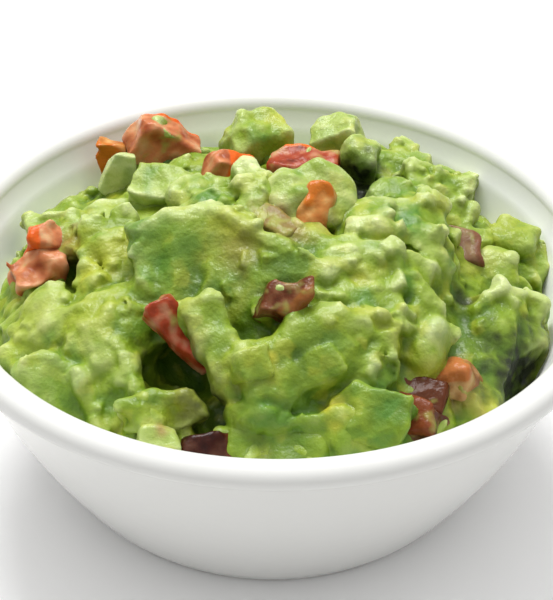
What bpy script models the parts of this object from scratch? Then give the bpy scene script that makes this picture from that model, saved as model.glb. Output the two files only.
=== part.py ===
"""Guacamole heaped in a small round porcelain bowl.

The bowl is turned from a profile.  The guacamole is one solid: a mound with the folds and
lumps that a spoon leaves, out to its uneven outline and down to the bowl.  The diced tomato
and the chunks of avocado that lie on it or stick out of it are solids of their own, each in
a pocket of the mound.

Units are metres, +Z is up, and the front of the heap faces -Y.  The origin is the middle of
the bowl's foot.
"""

import math
import random
from collections import namedtuple

import bmesh
import bpy
from mathutils import Matrix, Vector
from mathutils.bvhtree import BVHTree

MM = 0.001

# The bowl
RIM_RADIUS = 65.0 * MM
BOWL_HEIGHT = 48.4 * MM
LIP_RADIUS = 3.1 * MM
COLLAR_HEIGHT = 4.0 * MM
COLLAR_STEP = 1.1 * MM
COLLAR_SLANT = 0.1 * MM
FOOT_RADIUS = 41.5 * MM
FOOT_RING_WIDTH = 5.5 * MM
FOOT_RECESS = 1.6 * MM
HEEL_RADIUS = 0.9 * MM
WALL_SLOPE = 0.664
WALL_CURVE = 4.65
WALL_THICKNESS = 4.3 * MM
FLOOR_HEIGHT = 5.8 * MM
FLOOR_RADIUS = 33.0 * MM
FLOOR_CURVE_HEIGHT = 9.0 * MM
FLOOR_CURVE_CORNER = 2.0 * MM
INNER_WALL_TOP = 42.4 * MM
BOWL_SEGMENTS = 48
FLOOR_CURVE_STEPS = 4
INNER_WALL_STEPS = 3
OUTER_WALL_STEPS = 6
HEEL_STEPS = 2
LIP_STEPS = 6
SHARP_ANGLE = math.radians(50)

# The heap
GAP = 0.3 * MM
MOUND_EDGE_HEIGHT = 31.0 * MM
MOUND_RISE = 20.0 * MM
MOUND_RADIUS = 57.0 * MM
MOUND_BACK = 2.0 * MM
MOUND_POWER = 0.8
MOUND_SEGMENTS = 48
MOUND_SIDE_STEPS = 3
MOUND_TOP_STEPS = 8
TRIM_ALLOWANCE = 1.0 * MM
CUTTER_TOP = 90.0 * MM
RIDGE_RADIUS = 3.2
LUMP_CUTS = 4
HEAP_VOXEL = 2.0 * MM
HEAP_SOFTENING = 2
HEAP_KEPT_DETAIL = 0.086

# The pieces in the heap
POCKET_GAP = 0.42 * MM
UNEVENNESS = 0.05
PIECE_CUTS = 2
SMALL_PIECE_CUTS = 1
SMALL_PIECE_HALF = 6.9

# How square a lump is: the exponent of its superellipsoid, 2 for an ellipsoid
ROUND = 2.0
SOFT = 3.0
BLOCKY = 4.5
CRISP = 6.5

Lump = namedtuple("Lump", "at half turn squareness taper", defaults=(0.0,))
Piece = namedtuple("Piece", "name at half turn squareness taper", defaults=(0.0,))


# ---------------------------------------------------------------- materials


def material(name, colour, roughness):
    """A plain Principled material with one colour, in linear values."""
    made = bpy.data.materials.new(name)
    made.use_nodes = True
    shader = made.node_tree.nodes["Principled BSDF"]
    shader.inputs["Base Color"].default_value = (*colour, 1.0)
    shader.inputs["Roughness"].default_value = roughness
    shader.inputs["Metallic"].default_value = 0.0
    return made


# ---------------------------------------------------------------- shapes


def link_mesh(name, mesh_source, finish=None):
    """Turns a bmesh into an object of the scene."""
    mesh = bpy.data.meshes.new(name)
    mesh_source.to_mesh(mesh)
    mesh_source.free()
    made = bpy.data.objects.new(name, mesh)
    bpy.context.scene.collection.objects.link(made)
    if finish is not None:
        mesh.materials.append(finish)
    return made


def turned(profile, segments):
    """Spins a profile of (radius, height) points, both ends on the axis, into a closed solid."""
    spun = bmesh.new()
    points = [spun.verts.new((radius, 0.0, height)) for radius, height in profile]
    edges = [spun.edges.new(pair) for pair in zip(points, points[1:])]
    bmesh.ops.spin(
        spun,
        geom=points + edges,
        axis=(0, 0, 1),
        cent=(0, 0, 0),
        steps=segments,
        angle=math.tau,
    )
    bmesh.ops.remove_doubles(spun, verts=spun.verts, dist=1e-6)
    bmesh.ops.recalc_face_normals(spun, faces=spun.faces)
    return spun


def arc(centre, radius, start, end, steps):
    """Points (radius, height) along an arc in a turned profile, angles in degrees."""
    angles = [math.radians(start + (end - start) * step / steps) for step in range(steps + 1)]
    return [(centre[0] + radius * math.cos(a), centre[1] + radius * math.sin(a)) for a in angles]


def turn_matrix(at, turn):
    """A place in millimetres and the degrees of yaw, pitch and roll of what lies there."""
    yaw, pitch, roll = (math.radians(angle) for angle in turn)
    return (
        Matrix.Translation(Vector(at) * MM)
        @ Matrix.Rotation(yaw, 4, "Z")
        @ Matrix.Rotation(pitch, 4, "X")
        @ Matrix.Rotation(roll, 4, "Y")
    )


def add_block(target, shape, cuts, grow=0.0, unevenness=0.0, seed=0):
    """Adds a rounded block, a superellipsoid drawn on a cut cube, to a bmesh.

    A taper makes one end along the block's own x thicker than the other.
    """
    random_source = random.Random(seed)
    made = bmesh.ops.create_cube(target, size=2.0)
    edges = list({edge for vert in made["verts"] for edge in vert.link_edges})
    bmesh.ops.subdivide_edges(target, edges=edges, cuts=cuts, use_grid_fill=True)
    placed = turn_matrix(shape.at, shape.turn)
    new_verts = [vert for vert in target.verts if vert.tag is False]
    power = shape.squareness
    for vert in new_verts:
        spread = sum(abs(value) ** power for value in vert.co) ** (1.0 / power)
        uneven = 1.0 + unevenness * random_source.uniform(-1.0, 1.0)
        local = Vector(
            value / spread * (half * MM * uneven + grow)
            for value, half in zip(vert.co, shape.half)
        )
        swell = 1.0 + shape.taper * vert.co.x / spread
        vert.co = placed @ Vector((local.x, local.y * swell, local.z * swell))
        vert.tag = True


# ---------------------------------------------------------------- the bowl


def outer_wall_radius(height):
    """The bowl's outer wall: it opens quickly from the foot and more slowly near the rim."""
    return FOOT_RADIUS + WALL_SLOPE * height - WALL_CURVE * height * height


def inner_wall_radius(height):
    return outer_wall_radius(height) - WALL_THICKNESS


def cavity_profile(clearance):
    """The inside of the bowl from the middle of its floor up to its lip, drawn in by a clearance."""
    wall_foot = FLOOR_HEIGHT + FLOOR_CURVE_HEIGHT
    start = Vector((FLOOR_RADIUS, FLOOR_HEIGHT))
    corner = Vector((inner_wall_radius(FLOOR_HEIGHT + FLOOR_CURVE_CORNER), FLOOR_HEIGHT))
    end = Vector((inner_wall_radius(wall_foot), wall_foot))
    points = [(0.0, FLOOR_HEIGHT + clearance), (FLOOR_RADIUS, FLOOR_HEIGHT + clearance)]
    for step in range(1, FLOOR_CURVE_STEPS):
        part = step / FLOOR_CURVE_STEPS
        bent = (1 - part) ** 2 * start + 2 * part * (1 - part) * corner + part**2 * end
        along = (1 - part) * (corner - start) + part * (end - corner)
        inwards = Vector((-along.y, along.x)).normalized()
        points.append(tuple(bent + clearance * inwards))
    for step in range(INNER_WALL_STEPS + 1):
        height = wall_foot + (INNER_WALL_TOP - wall_foot) * step / INNER_WALL_STEPS
        points.append((inner_wall_radius(height) - clearance, height))
    return points


def make_bowl(finish):
    """A foot ring, a flaring wall, a collar under the rim and a round lip, turned in one."""
    lip_centre = (RIM_RADIUS - LIP_RADIUS, BOWL_HEIGHT - LIP_RADIUS)
    collar_bottom = BOWL_HEIGHT - COLLAR_HEIGHT
    collar_radius = outer_wall_radius(collar_bottom) + COLLAR_STEP
    ring_inside = FOOT_RADIUS - FOOT_RING_WIDTH
    profile = [(0.0, FOOT_RECESS), (ring_inside - FOOT_RECESS, FOOT_RECESS), (ring_inside, 0.0)]
    profile += arc((FOOT_RADIUS - HEEL_RADIUS, HEEL_RADIUS), HEEL_RADIUS, -90, -10, HEEL_STEPS)
    for step in range(1, OUTER_WALL_STEPS + 1):
        height = collar_bottom * step / OUTER_WALL_STEPS
        profile.append((outer_wall_radius(height), height))
    profile.append((collar_radius, collar_bottom + COLLAR_SLANT))
    profile += arc(lip_centre, LIP_RADIUS, 0, 180, LIP_STEPS)
    profile += reversed(cavity_profile(0.0))
    bowl = link_mesh("bowl", turned(profile, BOWL_SEGMENTS), finish)
    bowl.data.shade_smooth()
    bowl.data.set_sharp_from_angle(angle=SHARP_ANGLE)
    return bowl


# ---------------------------------------------------------------- the heap


def middle_fold():
    """The long fold behind the middle: a raised edge whose face slopes down to the front."""
    return [
        Lump((-19.4, -9.7, 49), (5.6, 10, 5), (18, 42, -10), BLOCKY),
        Lump((-12.5, -10.8, 49.6), (7.5, 10, 5.5), (-4, 40, 0), BLOCKY),
        Lump((-4.5, -15, 48.8), (8, 10, 5.5), (-26, 38, 6), BLOCKY),
        Lump((3, -18.5, 48.3), (7, 8, 6), (-26, 35, 6), SOFT),
        Lump((-21.5, -17, 45.5), (4.4, 7, 5), (25, 40, 0), ROUND),
        Lump((-12.5, -3, 56), (5, 3.2, 3.4), (-8, 25, 0), ROUND),
        Lump((-18.5, -4, 54.8), (4, 3.2, 3.4), (14, 25, 0), ROUND),
        Lump((-6.5, -6.5, 56.3), (3.8, 3, 3.2), (-25, 25, 0), ROUND),
    ]


def front_fold():
    """The broad fold across the front, which hangs over a little along its lower edge."""
    return [
        Lump((8, -32.2, 46.4), (7, 8, 5.3), (-4, 42, 0), SOFT),
        Lump((-1, -35.6, 44.8), (5.6, 6.5, 5), (14, 42, 0), SOFT),
        Lump((14, -30, 45.8), (7, 8, 5.6), (8, 42, 4), SOFT),
        Lump((6.9, -37.5, 47.2), (5.8, 3, 1.6), (38.8, 34, -30.9), CRISP),
        Lump((-3.2, -37.6, 44), (3.6, 3.4, 3.6), (10, 35, 0), ROUND),
        Lump((1.5, -39.3, 43.6), (3.6, 2.6, 3.4), (0, 40, 0), ROUND),
    ]


def finger():
    """The long lobe beside the wedge of tomato, from the middle down to the front."""
    return [
        Lump((-11, -28.6, 50.2), (3.6, 5.6, 2.6), (24, 30, -10), BLOCKY),
        Lump((-8, -34.2, 47.2), (3.2, 5.4, 2.6), (16, 34, -8), BLOCKY),
        Lump((-15, -25.4, 51.4), (2.3, 2.8, 2.6), (10, 20, 0), ROUND),
        Lump((-11.4, -25, 52.4), (2.4, 2.8, 2.7), (10, 20, 0), ROUND),
        Lump((-6.2, -37.4, 44.4), (3.2, 3.6, 3), (20, 30, 0), ROUND),
    ]


def right_middle():
    """The soft mass to the right of both folds, the highest part of the heap's right half."""
    return [
        Lump((12, -12.5, 50), (9, 8, 6.6), (0, 30, 0), ROUND),
        Lump((20, 0, 50.3), (8.5, 8.5, 7), (0, 25, 10), ROUND),
        Lump((26.5, 4.5, 47.5), (7.5, 8.5, 8), (-10, 20, 20), ROUND),
        Lump((27, -5, 46), (8, 9, 8), (-10, 20, 20), ROUND),
        Lump((17, -15, 48), (10, 9, 7), (0, 30, 0), ROUND),
        Lump((23, -19, 45.5), (8, 8, 7), (0, 30, 10), ROUND),
        Lump((19.5, -26, 43), (8, 7, 8), (0, 30, 0), ROUND),
        Lump((28.3, -24, 43.5), (3.9, 5, 7.4), (-15, 15, 6), ROUND),
        Lump((27.6, -27.8, 43), (3.6, 4, 5), (-10, 20, 0), ROUND),
        Lump((26, -19, 49), (3.6, 3, 3), (-10, 25, 0), ROUND),
        Lump((7.2, -17.5, 54.3), (3.6, 2.6, 2.6), (-25, 25, 0), BLOCKY),
        Lump((12.5, -14.3, 55.2), (3.4, 2.4, 2.2), (20, 25, 0), BLOCKY),
        Lump((19.5, -12.3, 54), (3.8, 2.6, 2.4), (-12, 20, 8), BLOCKY),
        Lump((26, -12, 51.3), (3.6, 3, 2.6), (-30, 25, 15), BLOCKY),
        Lump((15, -20.5, 51.5), (3.6, 2.6, 2.2), (12, 30, 0), BLOCKY),
        Lump((9, -22, 50.8), (3.4, 2.6, 2.6), (0, 25, 0), ROUND),
        Lump((22.5, -21.5, 49.5), (3.4, 3, 2.4), (0, 30, 0), ROUND),
        Lump((27.5, -3, 53), (3.4, 2.4, 2), (-20, 15, 14), CRISP),
        Lump((20.8, -4.5, 56.2), (3, 2.2, 1.8), (25, 15, 8), CRISP),
        Lump((16.5, -5.2, 56), (3.2, 2.2, 1.8), (-12, 15, 0), CRISP),
    ]


def left_side():
    """The lower lumps on the left, from the wall's front to its back."""
    return [
        Lump((-29.5, -21.5, 42.5), (10, 9, 6.5), (10, 25, -8), ROUND),
        Lump((-40, -13.5, 40), (8, 7, 6.5), (10, 25, -10), ROUND),
        Lump((-46.5, -13, 36), (4.6, 4.4, 4), (10, 20, -20), ROUND),
        Lump((-35, -29.5, 35.5), (11, 8.5, 6.5), (22, 42, -8), SOFT),
        Lump((-29.5, -33.5, 36.5), (5, 8, 5), (28, 42, -4), BLOCKY),
        Lump((-27.5, -28.5, 42), (4.6, 4.4, 4.6), (20, 30, 0), ROUND),
        Lump((-24.8, -32.3, 41), (3.8, 3.8, 4.6), (10, 30, 0), ROUND),
        Lump((-23.2, -35.8, 41.2), (1.8, 2, 3.6), (0, 25, 5), CRISP),
        Lump((-31, -24, 45.6), (4.4, 3.4, 3), (10, 20, 0), ROUND),
        Lump((-25.8, -21.5, 46.5), (3.8, 3, 3.2), (0, 20, 0), ROUND),
        Lump((-39, -19, 43.2), (4.4, 3, 2.8), (-10, 25, -10), ROUND),
        Lump((-46, -20.5, 33.5), (5, 5, 6), (30, 30, -20), ROUND),
        Lump((-40.5, -22.5, 38.8), (5.5, 3, 2.4), (-30, 30, -10), BLOCKY),
    ]


def left_back():
    """The lumps round the tomato on the left, with a crescent ridge before them."""
    return [
        Lump((-42, 12, 38.4), (6.5, 6, 6), (10, 10, -18), BLOCKY),
        Lump((-38.2, 5.5, 43.5), (3.4, 4.5, 5), (10, 20, -10), BLOCKY),
        Lump((-34.2, 1, 45.5), (3, 5.5, 5.5), (10, 25, -5), BLOCKY),
        Lump((-29.3, 4, 46.5), (3.4, 4.5, 5), (-5, 25, 5), BLOCKY),
        Lump((-28.8, -3.5, 45), (4, 5.5, 4.5), (20, 30, -5), BLOCKY),
        Lump((-33, 12, 43.4), (5.5, 5, 4.8), (20, 20, 0), ROUND),
        Lump((-46.5, 3, 36.5), (5, 6, 5), (10, 20, -20), ROUND),
    ]


def back_side():
    """The loose lumps behind the folds, between the chunks and the tomato."""
    return [
        Lump((-36.4, 19, 37.4), (6, 4, 4.6), (0, 10, 0), BLOCKY),
        Lump((-30, 16.4, 42.4), (6, 4, 4), (0, 20, 0), BLOCKY),
        Lump((-4.4, 10, 52.6), (2.8, 6.2, 5), (25, 9, -4), CRISP),
        Lump((-3, 4, 55), (4.4, 6, 3.6), (25, 25, 10), BLOCKY),
        Lump((-14.5, 12.5, 51), (7, 5, 4.4), (0, 20, 0), ROUND),
        Lump((-11.5, 4.5, 52.6), (7, 5, 3.6), (0, 10, 0), ROUND),
        Lump((6, -7.5, 53.4), (6.5, 4.4, 4.2), (0, 10, 0), ROUND),
        Lump((27.5, 40.5, 43), (2.8, 2.6, 3.6), (0, 0, 0), CRISP),
        Lump((26.5, 31, 44.6), (6, 5, 4.6), (0, 15, 0), BLOCKY),
        Lump((31.5, 22, 45), (7, 6.5, 5.4), (-18, 20, 18), CRISP),
        Lump((36.6, 17.6, 41.4), (3.6, 4.5, 5.4), (-18, 16, 8), CRISP),
        Lump((24, 14, 49), (7, 6, 4.6), (-10, 20, 10), ROUND),
    ]


def far_side():
    """The lumps that the farthest chunks and tomato lie on, down to the wall behind them."""
    return [
        Lump((-4, 36, 40.5), (9, 8, 5.5), (10, -10, 0), ROUND),
        Lump((12, 36, 41), (9, 7, 6), (-5, -12, 5), ROUND),
        Lump((-25, 36, 39.5), (10, 6, 6), (15, -10, 0), ROUND),
        Lump((-35, 33, 31.6), (6, 6, 6), (20, -10, -10), SOFT),
        Lump((-14, 29, 43), (7, 6, 5.5), (-15, 0, 0), SOFT),
        Lump((5, 25, 45), (9, 5, 5), (0, 0, 0), ROUND),
        Lump((4, 45, 37.5), (9, 6, 5), (5, -15, 0), SOFT),
        Lump((-14, 44, 37), (8, 6, 5.5), (15, -15, 0), SOFT),
        Lump((23, 41, 38), (8, 7, 5.5), (-25, -10, 5), SOFT),
        Lump((35, 33, 38), (6, 7, 6), (-40, -10, 0), SOFT),
        Lump((-43, 26, 33), (6, 7, 5), (30, 0, -10), SOFT),
        Lump((44, 22, 32), (6, 7, 5), (-30, 0, 10), SOFT),
    ]


def right_side():
    """The lower lumps on the right, with the sharp ridge above the gap at the wall."""
    return [
        Lump((41, -14, 36.5), (8.5, 8, 7.5), (-20, 30, 12), ROUND),
        Lump((43, -9.4, 40.4), (5, 2.6, 3.4), (8, 35, -8), CRISP),
        Lump((37, -11.5, 40.5), (4, 2.6, 3.4), (22, 35, 10), CRISP),
        Lump((48.5, -7.5, 37.5), (3.4, 4.5, 5), (-40, 30, 14), BLOCKY),
        Lump((49.3, -13.5, 33.5), (3.2, 5, 6), (-15, 20, 10), ROUND),
        Lump((38, -22.5, 34), (8, 6, 7.5), (-25, 30, 8), ROUND),
        Lump((35, -30, 34), (7, 5, 6), (-25, 30, 5), ROUND),
        Lump((52.5, 12, 34), (4.4, 7, 6), (-20, 10, 0), BLOCKY),
        Lump((45.5, -1, 37), (6, 6, 5), (-20, 20, 0), ROUND),
    ]


def front_low():
    """What lies lowest, along the wall at the front."""
    return [
        Lump((-1.2, -41.6, 40.4), (6.6, 3.8, 4.4), (-8, 35, 0), ROUND),
        Lump((13, -44.5, 37.3), (5.8, 4.4, 5), (-5, 25, 0), ROUND),
        Lump((13.2, -38.5, 41), (5, 4, 4), (10, 40, 0), BLOCKY),
        Lump((9.6, -43.6, 40.6), (1.7, 3.4, 1.5), (-24, 46, 0), CRISP),
        Lump((6, -41.6, 39.4), (6.5, 3.8, 4.6), (-10, 30, 0), ROUND),
        Lump((-21.4, -39.6, 41.4), (3, 2.4, 2.8), (0, 30, 0), ROUND),
    ]


def hollows():
    """The deepest gaps: under the wedge and the finger, and along the walls."""
    return [
        Lump((-15.4, -30.5, 41.4), (7.8, 12, 7), (0, -36, 0), ROUND),
        Lump((-9.4, -39, 40.4), (5.2, 9.5, 6.6), (10, -36, 0), ROUND),
        Lump((49.4, -24, 35), (5.8, 10.5, 9), (-28, -30, 0), ROUND),
        Lump((16, 18.5, 50.5), (3.6, 5, 8.5), (0, -30, 0), ROUND),
        Lump((-40, 27, 45.4), (8, 8, 5.6), (30, 0, -14), ROUND),
    ]


def ridges():
    """The raised edges of the two folds."""
    middle = [(-25.8, -8.4, 50.6), (-23.4, -6.2, 53), (-19.5, -4.8, 55.4), (-15, -5, 56.6)]
    middle += [(-11, -6, 57.2), (-8, -8, 57.1), (-5, -10.5, 56.6), (0, -13.3, 55.8), (5, -16, 54.8)]
    front = [(-1.5, -33.4, 47.4), (2.4, -31.4, 48.8), (6.5, -28.8, 50.2), (11.5, -28.4, 50)]
    return ridge(middle) + ridge(front)


def ridge(points):
    """A raised edge: round lumps along a line, with one between each two points."""
    line = []
    for start, end in zip(points, points[1:]):
        line += [start, tuple((a + b) / 2 for a, b in zip(start, end))]
    line.append(points[-1])
    return [Lump(point, (RIDGE_RADIUS,) * 3, (0, 0, 0), ROUND) for point in line]


def mound_profile():
    """The heap under its folds and lumps: a dome over the filled bowl, out past the wall."""
    bottom = FLOOR_HEIGHT - TRIM_ALLOWANCE
    profile = [(0.0, bottom)]
    for step in range(MOUND_SIDE_STEPS + 1):
        height = bottom + (MOUND_EDGE_HEIGHT - bottom) * step / MOUND_SIDE_STEPS
        profile.append((inner_wall_radius(height) + TRIM_ALLOWANCE, height))
    for step in range(1, MOUND_TOP_STEPS + 1):
        radius = MOUND_RADIUS * (1.0 - step / MOUND_TOP_STEPS)
        share = (1.0 - (radius / MOUND_RADIUS) ** 2) ** MOUND_POWER
        profile.append((radius, MOUND_EDGE_HEIGHT + MOUND_RISE * share))
    return profile


def make_cavity_cutter():
    """The inside of the bowl, a gap smaller, carried on straight up past the top of the heap."""
    profile = cavity_profile(GAP)
    top_radius = profile[-1][0]
    profile += [(top_radius + TRIM_ALLOWANCE, CUTTER_TOP), (0.0, CUTTER_TOP)]
    return hidden(link_mesh("cavity_cutter", turned(profile, BOWL_SEGMENTS)))


def hidden(cutter):
    """Marks an object as a cutter, which is no part of the model."""
    cutter.hide_render = True
    cutter.display_type = "WIRE"
    return cutter


def add_boolean(target, name, operation, cutter=None, cutters=None):
    """Adds a Boolean with one cutter or with a whole collection of them."""
    cut = target.modifiers.new(name, "BOOLEAN")
    cut.operation = operation
    cut.solver = "EXACT"
    if cutters is None:
        cut.object = cutter
    else:
        cut.operand_type = "COLLECTION"
        cut.collection = cutters


def make_hollow_cutters():
    """One cutter for each of the deepest gaps, in a collection of their own."""
    cutters = bpy.data.collections.new("hollow_cutters")
    for number, hollow in enumerate(hollows()):
        body = bmesh.new()
        add_block(body, hollow, LUMP_CUTS)
        cutter = hidden(link_mesh(f"hollow_cutter_{number + 1}", body))
        bpy.context.scene.collection.objects.unlink(cutter)
        cutters.objects.link(cutter)
    bpy.context.scene.collection.children.link(cutters)
    cutters.hide_render = True
    return cutters


def fused(name, lumps, mass):
    """An object in which all the lumps and what is in the bmesh already are one skin."""
    for lump in lumps:
        add_block(mass, lump, LUMP_CUTS)
    made = link_mesh(name, mass)
    fuse = made.modifiers.new("fuse", "REMESH")
    fuse.mode = "VOXEL"
    fuse.voxel_size = HEAP_VOXEL
    return made


def make_heap(cavity_cutter, pockets, finish):
    """Fuses the mound with its folds and lumps, trims it to the bowl and opens the pockets.

    The gaps are cut before the finger and the lowest lumps are added, as these stand in them.
    """
    mass = turned(mound_profile(), MOUND_SEGMENTS)
    bmesh.ops.translate(mass, verts=mass.verts, vec=(0.0, MOUND_BACK, 0.0))
    for vert in mass.verts:
        vert.tag = True
    lumps = middle_fold() + front_fold() + right_middle() + left_side() + left_back()
    lumps += back_side() + far_side() + right_side() + ridges()
    heap = fused("guacamole", lumps, mass)
    heap.data.materials.append(finish)
    late = hidden(fused("late_lumps", finger() + front_low(), bmesh.new()))
    add_boolean(heap, "gaps", "DIFFERENCE", cutters=make_hollow_cutters())
    add_boolean(heap, "late_lumps", "UNION", cutter=late)
    even_out = heap.modifiers.new("even_out", "REMESH")
    even_out.mode = "VOXEL"
    even_out.voxel_size = HEAP_VOXEL
    soften = heap.modifiers.new("soften", "SMOOTH")
    soften.factor = 0.5
    soften.iterations = HEAP_SOFTENING
    thin_out = heap.modifiers.new("thin_out", "DECIMATE")
    thin_out.ratio = HEAP_KEPT_DETAIL
    add_boolean(heap, "trim_to_bowl", "INTERSECT", cutter=cavity_cutter)
    add_boolean(heap, "pockets", "DIFFERENCE", cutters=pockets)
    return heap


# ---------------------------------------------------------------- avocado and tomato


AVOCADO_CHUNKS = [
    Piece("avocado_back_middle", (-4, 38.5, 48.4), (6.4, 5, 5.6), (25, 8, 0), BLOCKY),
    Piece("avocado_back_right_a", (13.5, 41, 48.4), (5, 4, 4.5), (0, 8, -26), BLOCKY),
    Piece("avocado_back_right_b", (17.5, 29.5, 48.9), (3.8, 4, 5.6), (-10, 10, 0), BLOCKY),
    Piece("avocado_top", (6.7, 5.5, 54), (8.6, 7.6, 6.2), (5, 25, 10), SOFT),
    Piece("avocado_back_left_a", (-22, 19.5, 46.8), (6.6, 4.6, 5.6), (-15, 18, 0), CRISP),
    Piece("avocado_back_left_b", (-32.4, 31, 44.8), (5, 1.4, 3.2), (10, 0, -75), CRISP, -0.3),
    Piece("avocado_right_back", (36.6, 23.5, 42), (3.4, 4, 5.2), (-15, 10, 5), BLOCKY),
    Piece("avocado_right_a", (44.3, 3.5, 39.6), (4.2, 4.5, 5), (-10, 20, 0), SOFT),
    Piece("avocado_right_b", (48.6, 13.5, 40.6), (4.6, 4.5, 4.6), (-20, 10, 0), SOFT),
    Piece("avocado_front_left_a", (-19.2, -46.6, 38.6), (3.3, 2.8, 3.4), (10, 30, 5), CRISP),
    Piece("avocado_front_left_b", (-18.4, -40.2, 39.9), (7.2, 4, 3.6), (6, 38, 12), SOFT),
    Piece("avocado_front_right", (17.4, -41, 39.4), (7.2, 5, 6), (-25, 35, 0), CRISP),
    Piece("avocado_front", (2, -45.5, 36), (9.5, 4.2, 4), (0, 30, 0), SOFT),
    Piece("avocado_fold", (-3.7, -37, 47.6), (3.3, 3, 3.8), (20, 35, 0), BLOCKY),
]

TOMATO_PIECES = [
    Piece("tomato_back_left_a", (-24.1, 38.5, 47.2), (6.6, 3.5, 5.2), (8, 5, 38), CRISP),
    Piece("tomato_back_left_b", (-34.4, 38.5, 44.9), (2.9, 2.2, 3.5), (-20, 5, -16), CRISP, -0.3),
    Piece("tomato_back_left_c", (-8.6, 26, 48.8), (5.8, 2.8, 3.5), (8, 10, 24), CRISP),
    Piece("tomato_back_middle", (6, 26, 49), (7.2, 4, 4.4), (-3, 8, 3), BLOCKY),
    Piece("tomato_top", (7.8, -0.6, 56.5), (3, 5.8, 2.4), (-28, 42, 24), BLOCKY),
    Piece("tomato_sliver", (-1, -3, 56), (7.4, 2.6, 1.8), (-48, 14, 0), CRISP),
    Piece("tomato_left_a", (-44.2, 4.4, 42.6), (4, 3.2, 6.4), (10, 20, 8), CRISP),
    Piece("tomato_left_b", (-45, -1, 41.2), (5.2, 3.6, 3.4), (10, 20, -8), CRISP),
    Piece("tomato_middle", (0.6, -24, 50.8), (3.8, 3.4, 7), (0, 30, 22), CRISP, 0.3),
    Piece("tomato_front_left", (-15.6, -28, 47.3), (7.8, 2.3, 2.2), (-46, 14, 39), CRISP, -0.5),
    Piece("tomato_right", (35.8, 6, 42.6), (5, 4, 4.6), (0, 20, 0), CRISP),
    Piece("tomato_front_right_a", (34, -29.2, 37.8), (3.8, 3.8, 5.6), (-20, 20, -25), CRISP),
    Piece("tomato_front_right_b", (24.8, -33.2, 38.4), (6.8, 3.4, 3.4), (-14, 25, -4), CRISP),
    Piece("tomato_front_right_c", (25.8, -38.4, 36.2), (4.8, 3.4, 5.8), (-25, 30, -10), CRISP),
    Piece("tomato_front", (-10.8, -46.8, 36.5), (4.4, 3, 3.8), (5, 30, 5), CRISP),
]


def make_piece(piece, seed, finish, pockets):
    """One dice of food, with its slightly larger pocket for the heap."""
    cuts = PIECE_CUTS if max(piece.half) > SMALL_PIECE_HALF else SMALL_PIECE_CUTS
    body = bmesh.new()
    add_block(body, piece, cuts, unevenness=UNEVENNESS, seed=seed)
    made = link_mesh(piece.name, body, finish)
    room = bmesh.new()
    add_block(room, piece, cuts, grow=POCKET_GAP, unevenness=UNEVENNESS, seed=seed)
    pocket = hidden(link_mesh(f"{piece.name}_pocket", room))
    bpy.context.scene.collection.objects.unlink(pocket)
    pockets.objects.link(pocket)
    return made, pocket


def touches(first, second):
    """True where the surfaces of two objects cross."""
    trees = []
    for thing in (first, second):
        shape = bmesh.new()
        shape.from_mesh(thing.data)
        trees.append(BVHTree.FromBMesh(shape))
        shape.free()
    return bool(trees[0].overlap(trees[1]))


def make_pieces(pieces, finish, pockets, placed):
    """Makes the pieces in turn; a later piece gives way to the earlier ones that it touches."""
    for piece in pieces:
        made, pocket = make_piece(piece, len(placed), finish, pockets)
        for earlier, earlier_pocket in placed:
            if touches(made, earlier_pocket):
                add_boolean(made, f"clear_of_{earlier.name}", "DIFFERENCE", cutter=earlier_pocket)
        placed.append((made, pocket))


# ---------------------------------------------------------------- the whole


def clear_scene():
    for thing in list(bpy.data.objects):
        bpy.data.objects.remove(thing, do_unlink=True)


def main():
    clear_scene()
    glaze = material("white_glaze", (0.83, 0.83, 0.80), 0.18)
    mash = material("guacamole", (0.33, 0.50, 0.12), 0.38)
    avocado = material("avocado", (0.42, 0.58, 0.16), 0.35)
    tomato = material("tomato", (0.60, 0.10, 0.045), 0.25)

    make_bowl(glaze)
    pockets = bpy.data.collections.new("pockets")
    bpy.context.scene.collection.children.link(pockets)
    pockets.hide_render = True
    placed = []
    make_pieces(TOMATO_PIECES, tomato, pockets, placed)
    make_pieces(AVOCADO_CHUNKS, avocado, pockets, placed)
    make_heap(make_cavity_cutter(), pockets, mash)


main()
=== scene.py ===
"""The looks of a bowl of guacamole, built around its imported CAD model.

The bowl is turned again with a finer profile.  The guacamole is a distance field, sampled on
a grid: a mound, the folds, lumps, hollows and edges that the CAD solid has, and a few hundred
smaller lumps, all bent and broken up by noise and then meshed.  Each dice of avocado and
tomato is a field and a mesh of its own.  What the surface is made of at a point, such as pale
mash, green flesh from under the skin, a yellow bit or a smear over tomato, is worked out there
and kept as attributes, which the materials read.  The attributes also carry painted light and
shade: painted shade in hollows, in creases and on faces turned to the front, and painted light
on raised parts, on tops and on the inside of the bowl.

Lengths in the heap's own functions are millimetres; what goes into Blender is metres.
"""

import math
from collections import namedtuple

import bmesh
import bpy
import numpy as np
from mathutils import Matrix, Vector


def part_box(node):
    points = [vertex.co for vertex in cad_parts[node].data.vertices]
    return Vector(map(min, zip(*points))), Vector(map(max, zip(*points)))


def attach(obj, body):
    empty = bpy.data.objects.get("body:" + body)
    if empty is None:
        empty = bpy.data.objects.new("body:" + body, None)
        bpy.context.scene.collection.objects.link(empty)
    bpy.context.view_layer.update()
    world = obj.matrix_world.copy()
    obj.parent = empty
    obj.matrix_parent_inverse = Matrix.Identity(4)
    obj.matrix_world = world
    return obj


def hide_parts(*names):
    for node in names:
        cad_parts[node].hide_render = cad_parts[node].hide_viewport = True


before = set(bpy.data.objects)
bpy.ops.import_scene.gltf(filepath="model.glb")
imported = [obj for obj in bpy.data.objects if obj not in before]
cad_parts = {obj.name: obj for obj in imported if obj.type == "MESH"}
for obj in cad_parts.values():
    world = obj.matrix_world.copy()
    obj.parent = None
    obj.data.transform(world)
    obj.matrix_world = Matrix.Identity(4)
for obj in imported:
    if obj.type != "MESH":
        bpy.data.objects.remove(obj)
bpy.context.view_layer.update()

MM = 0.001

# ---- sizes

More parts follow.
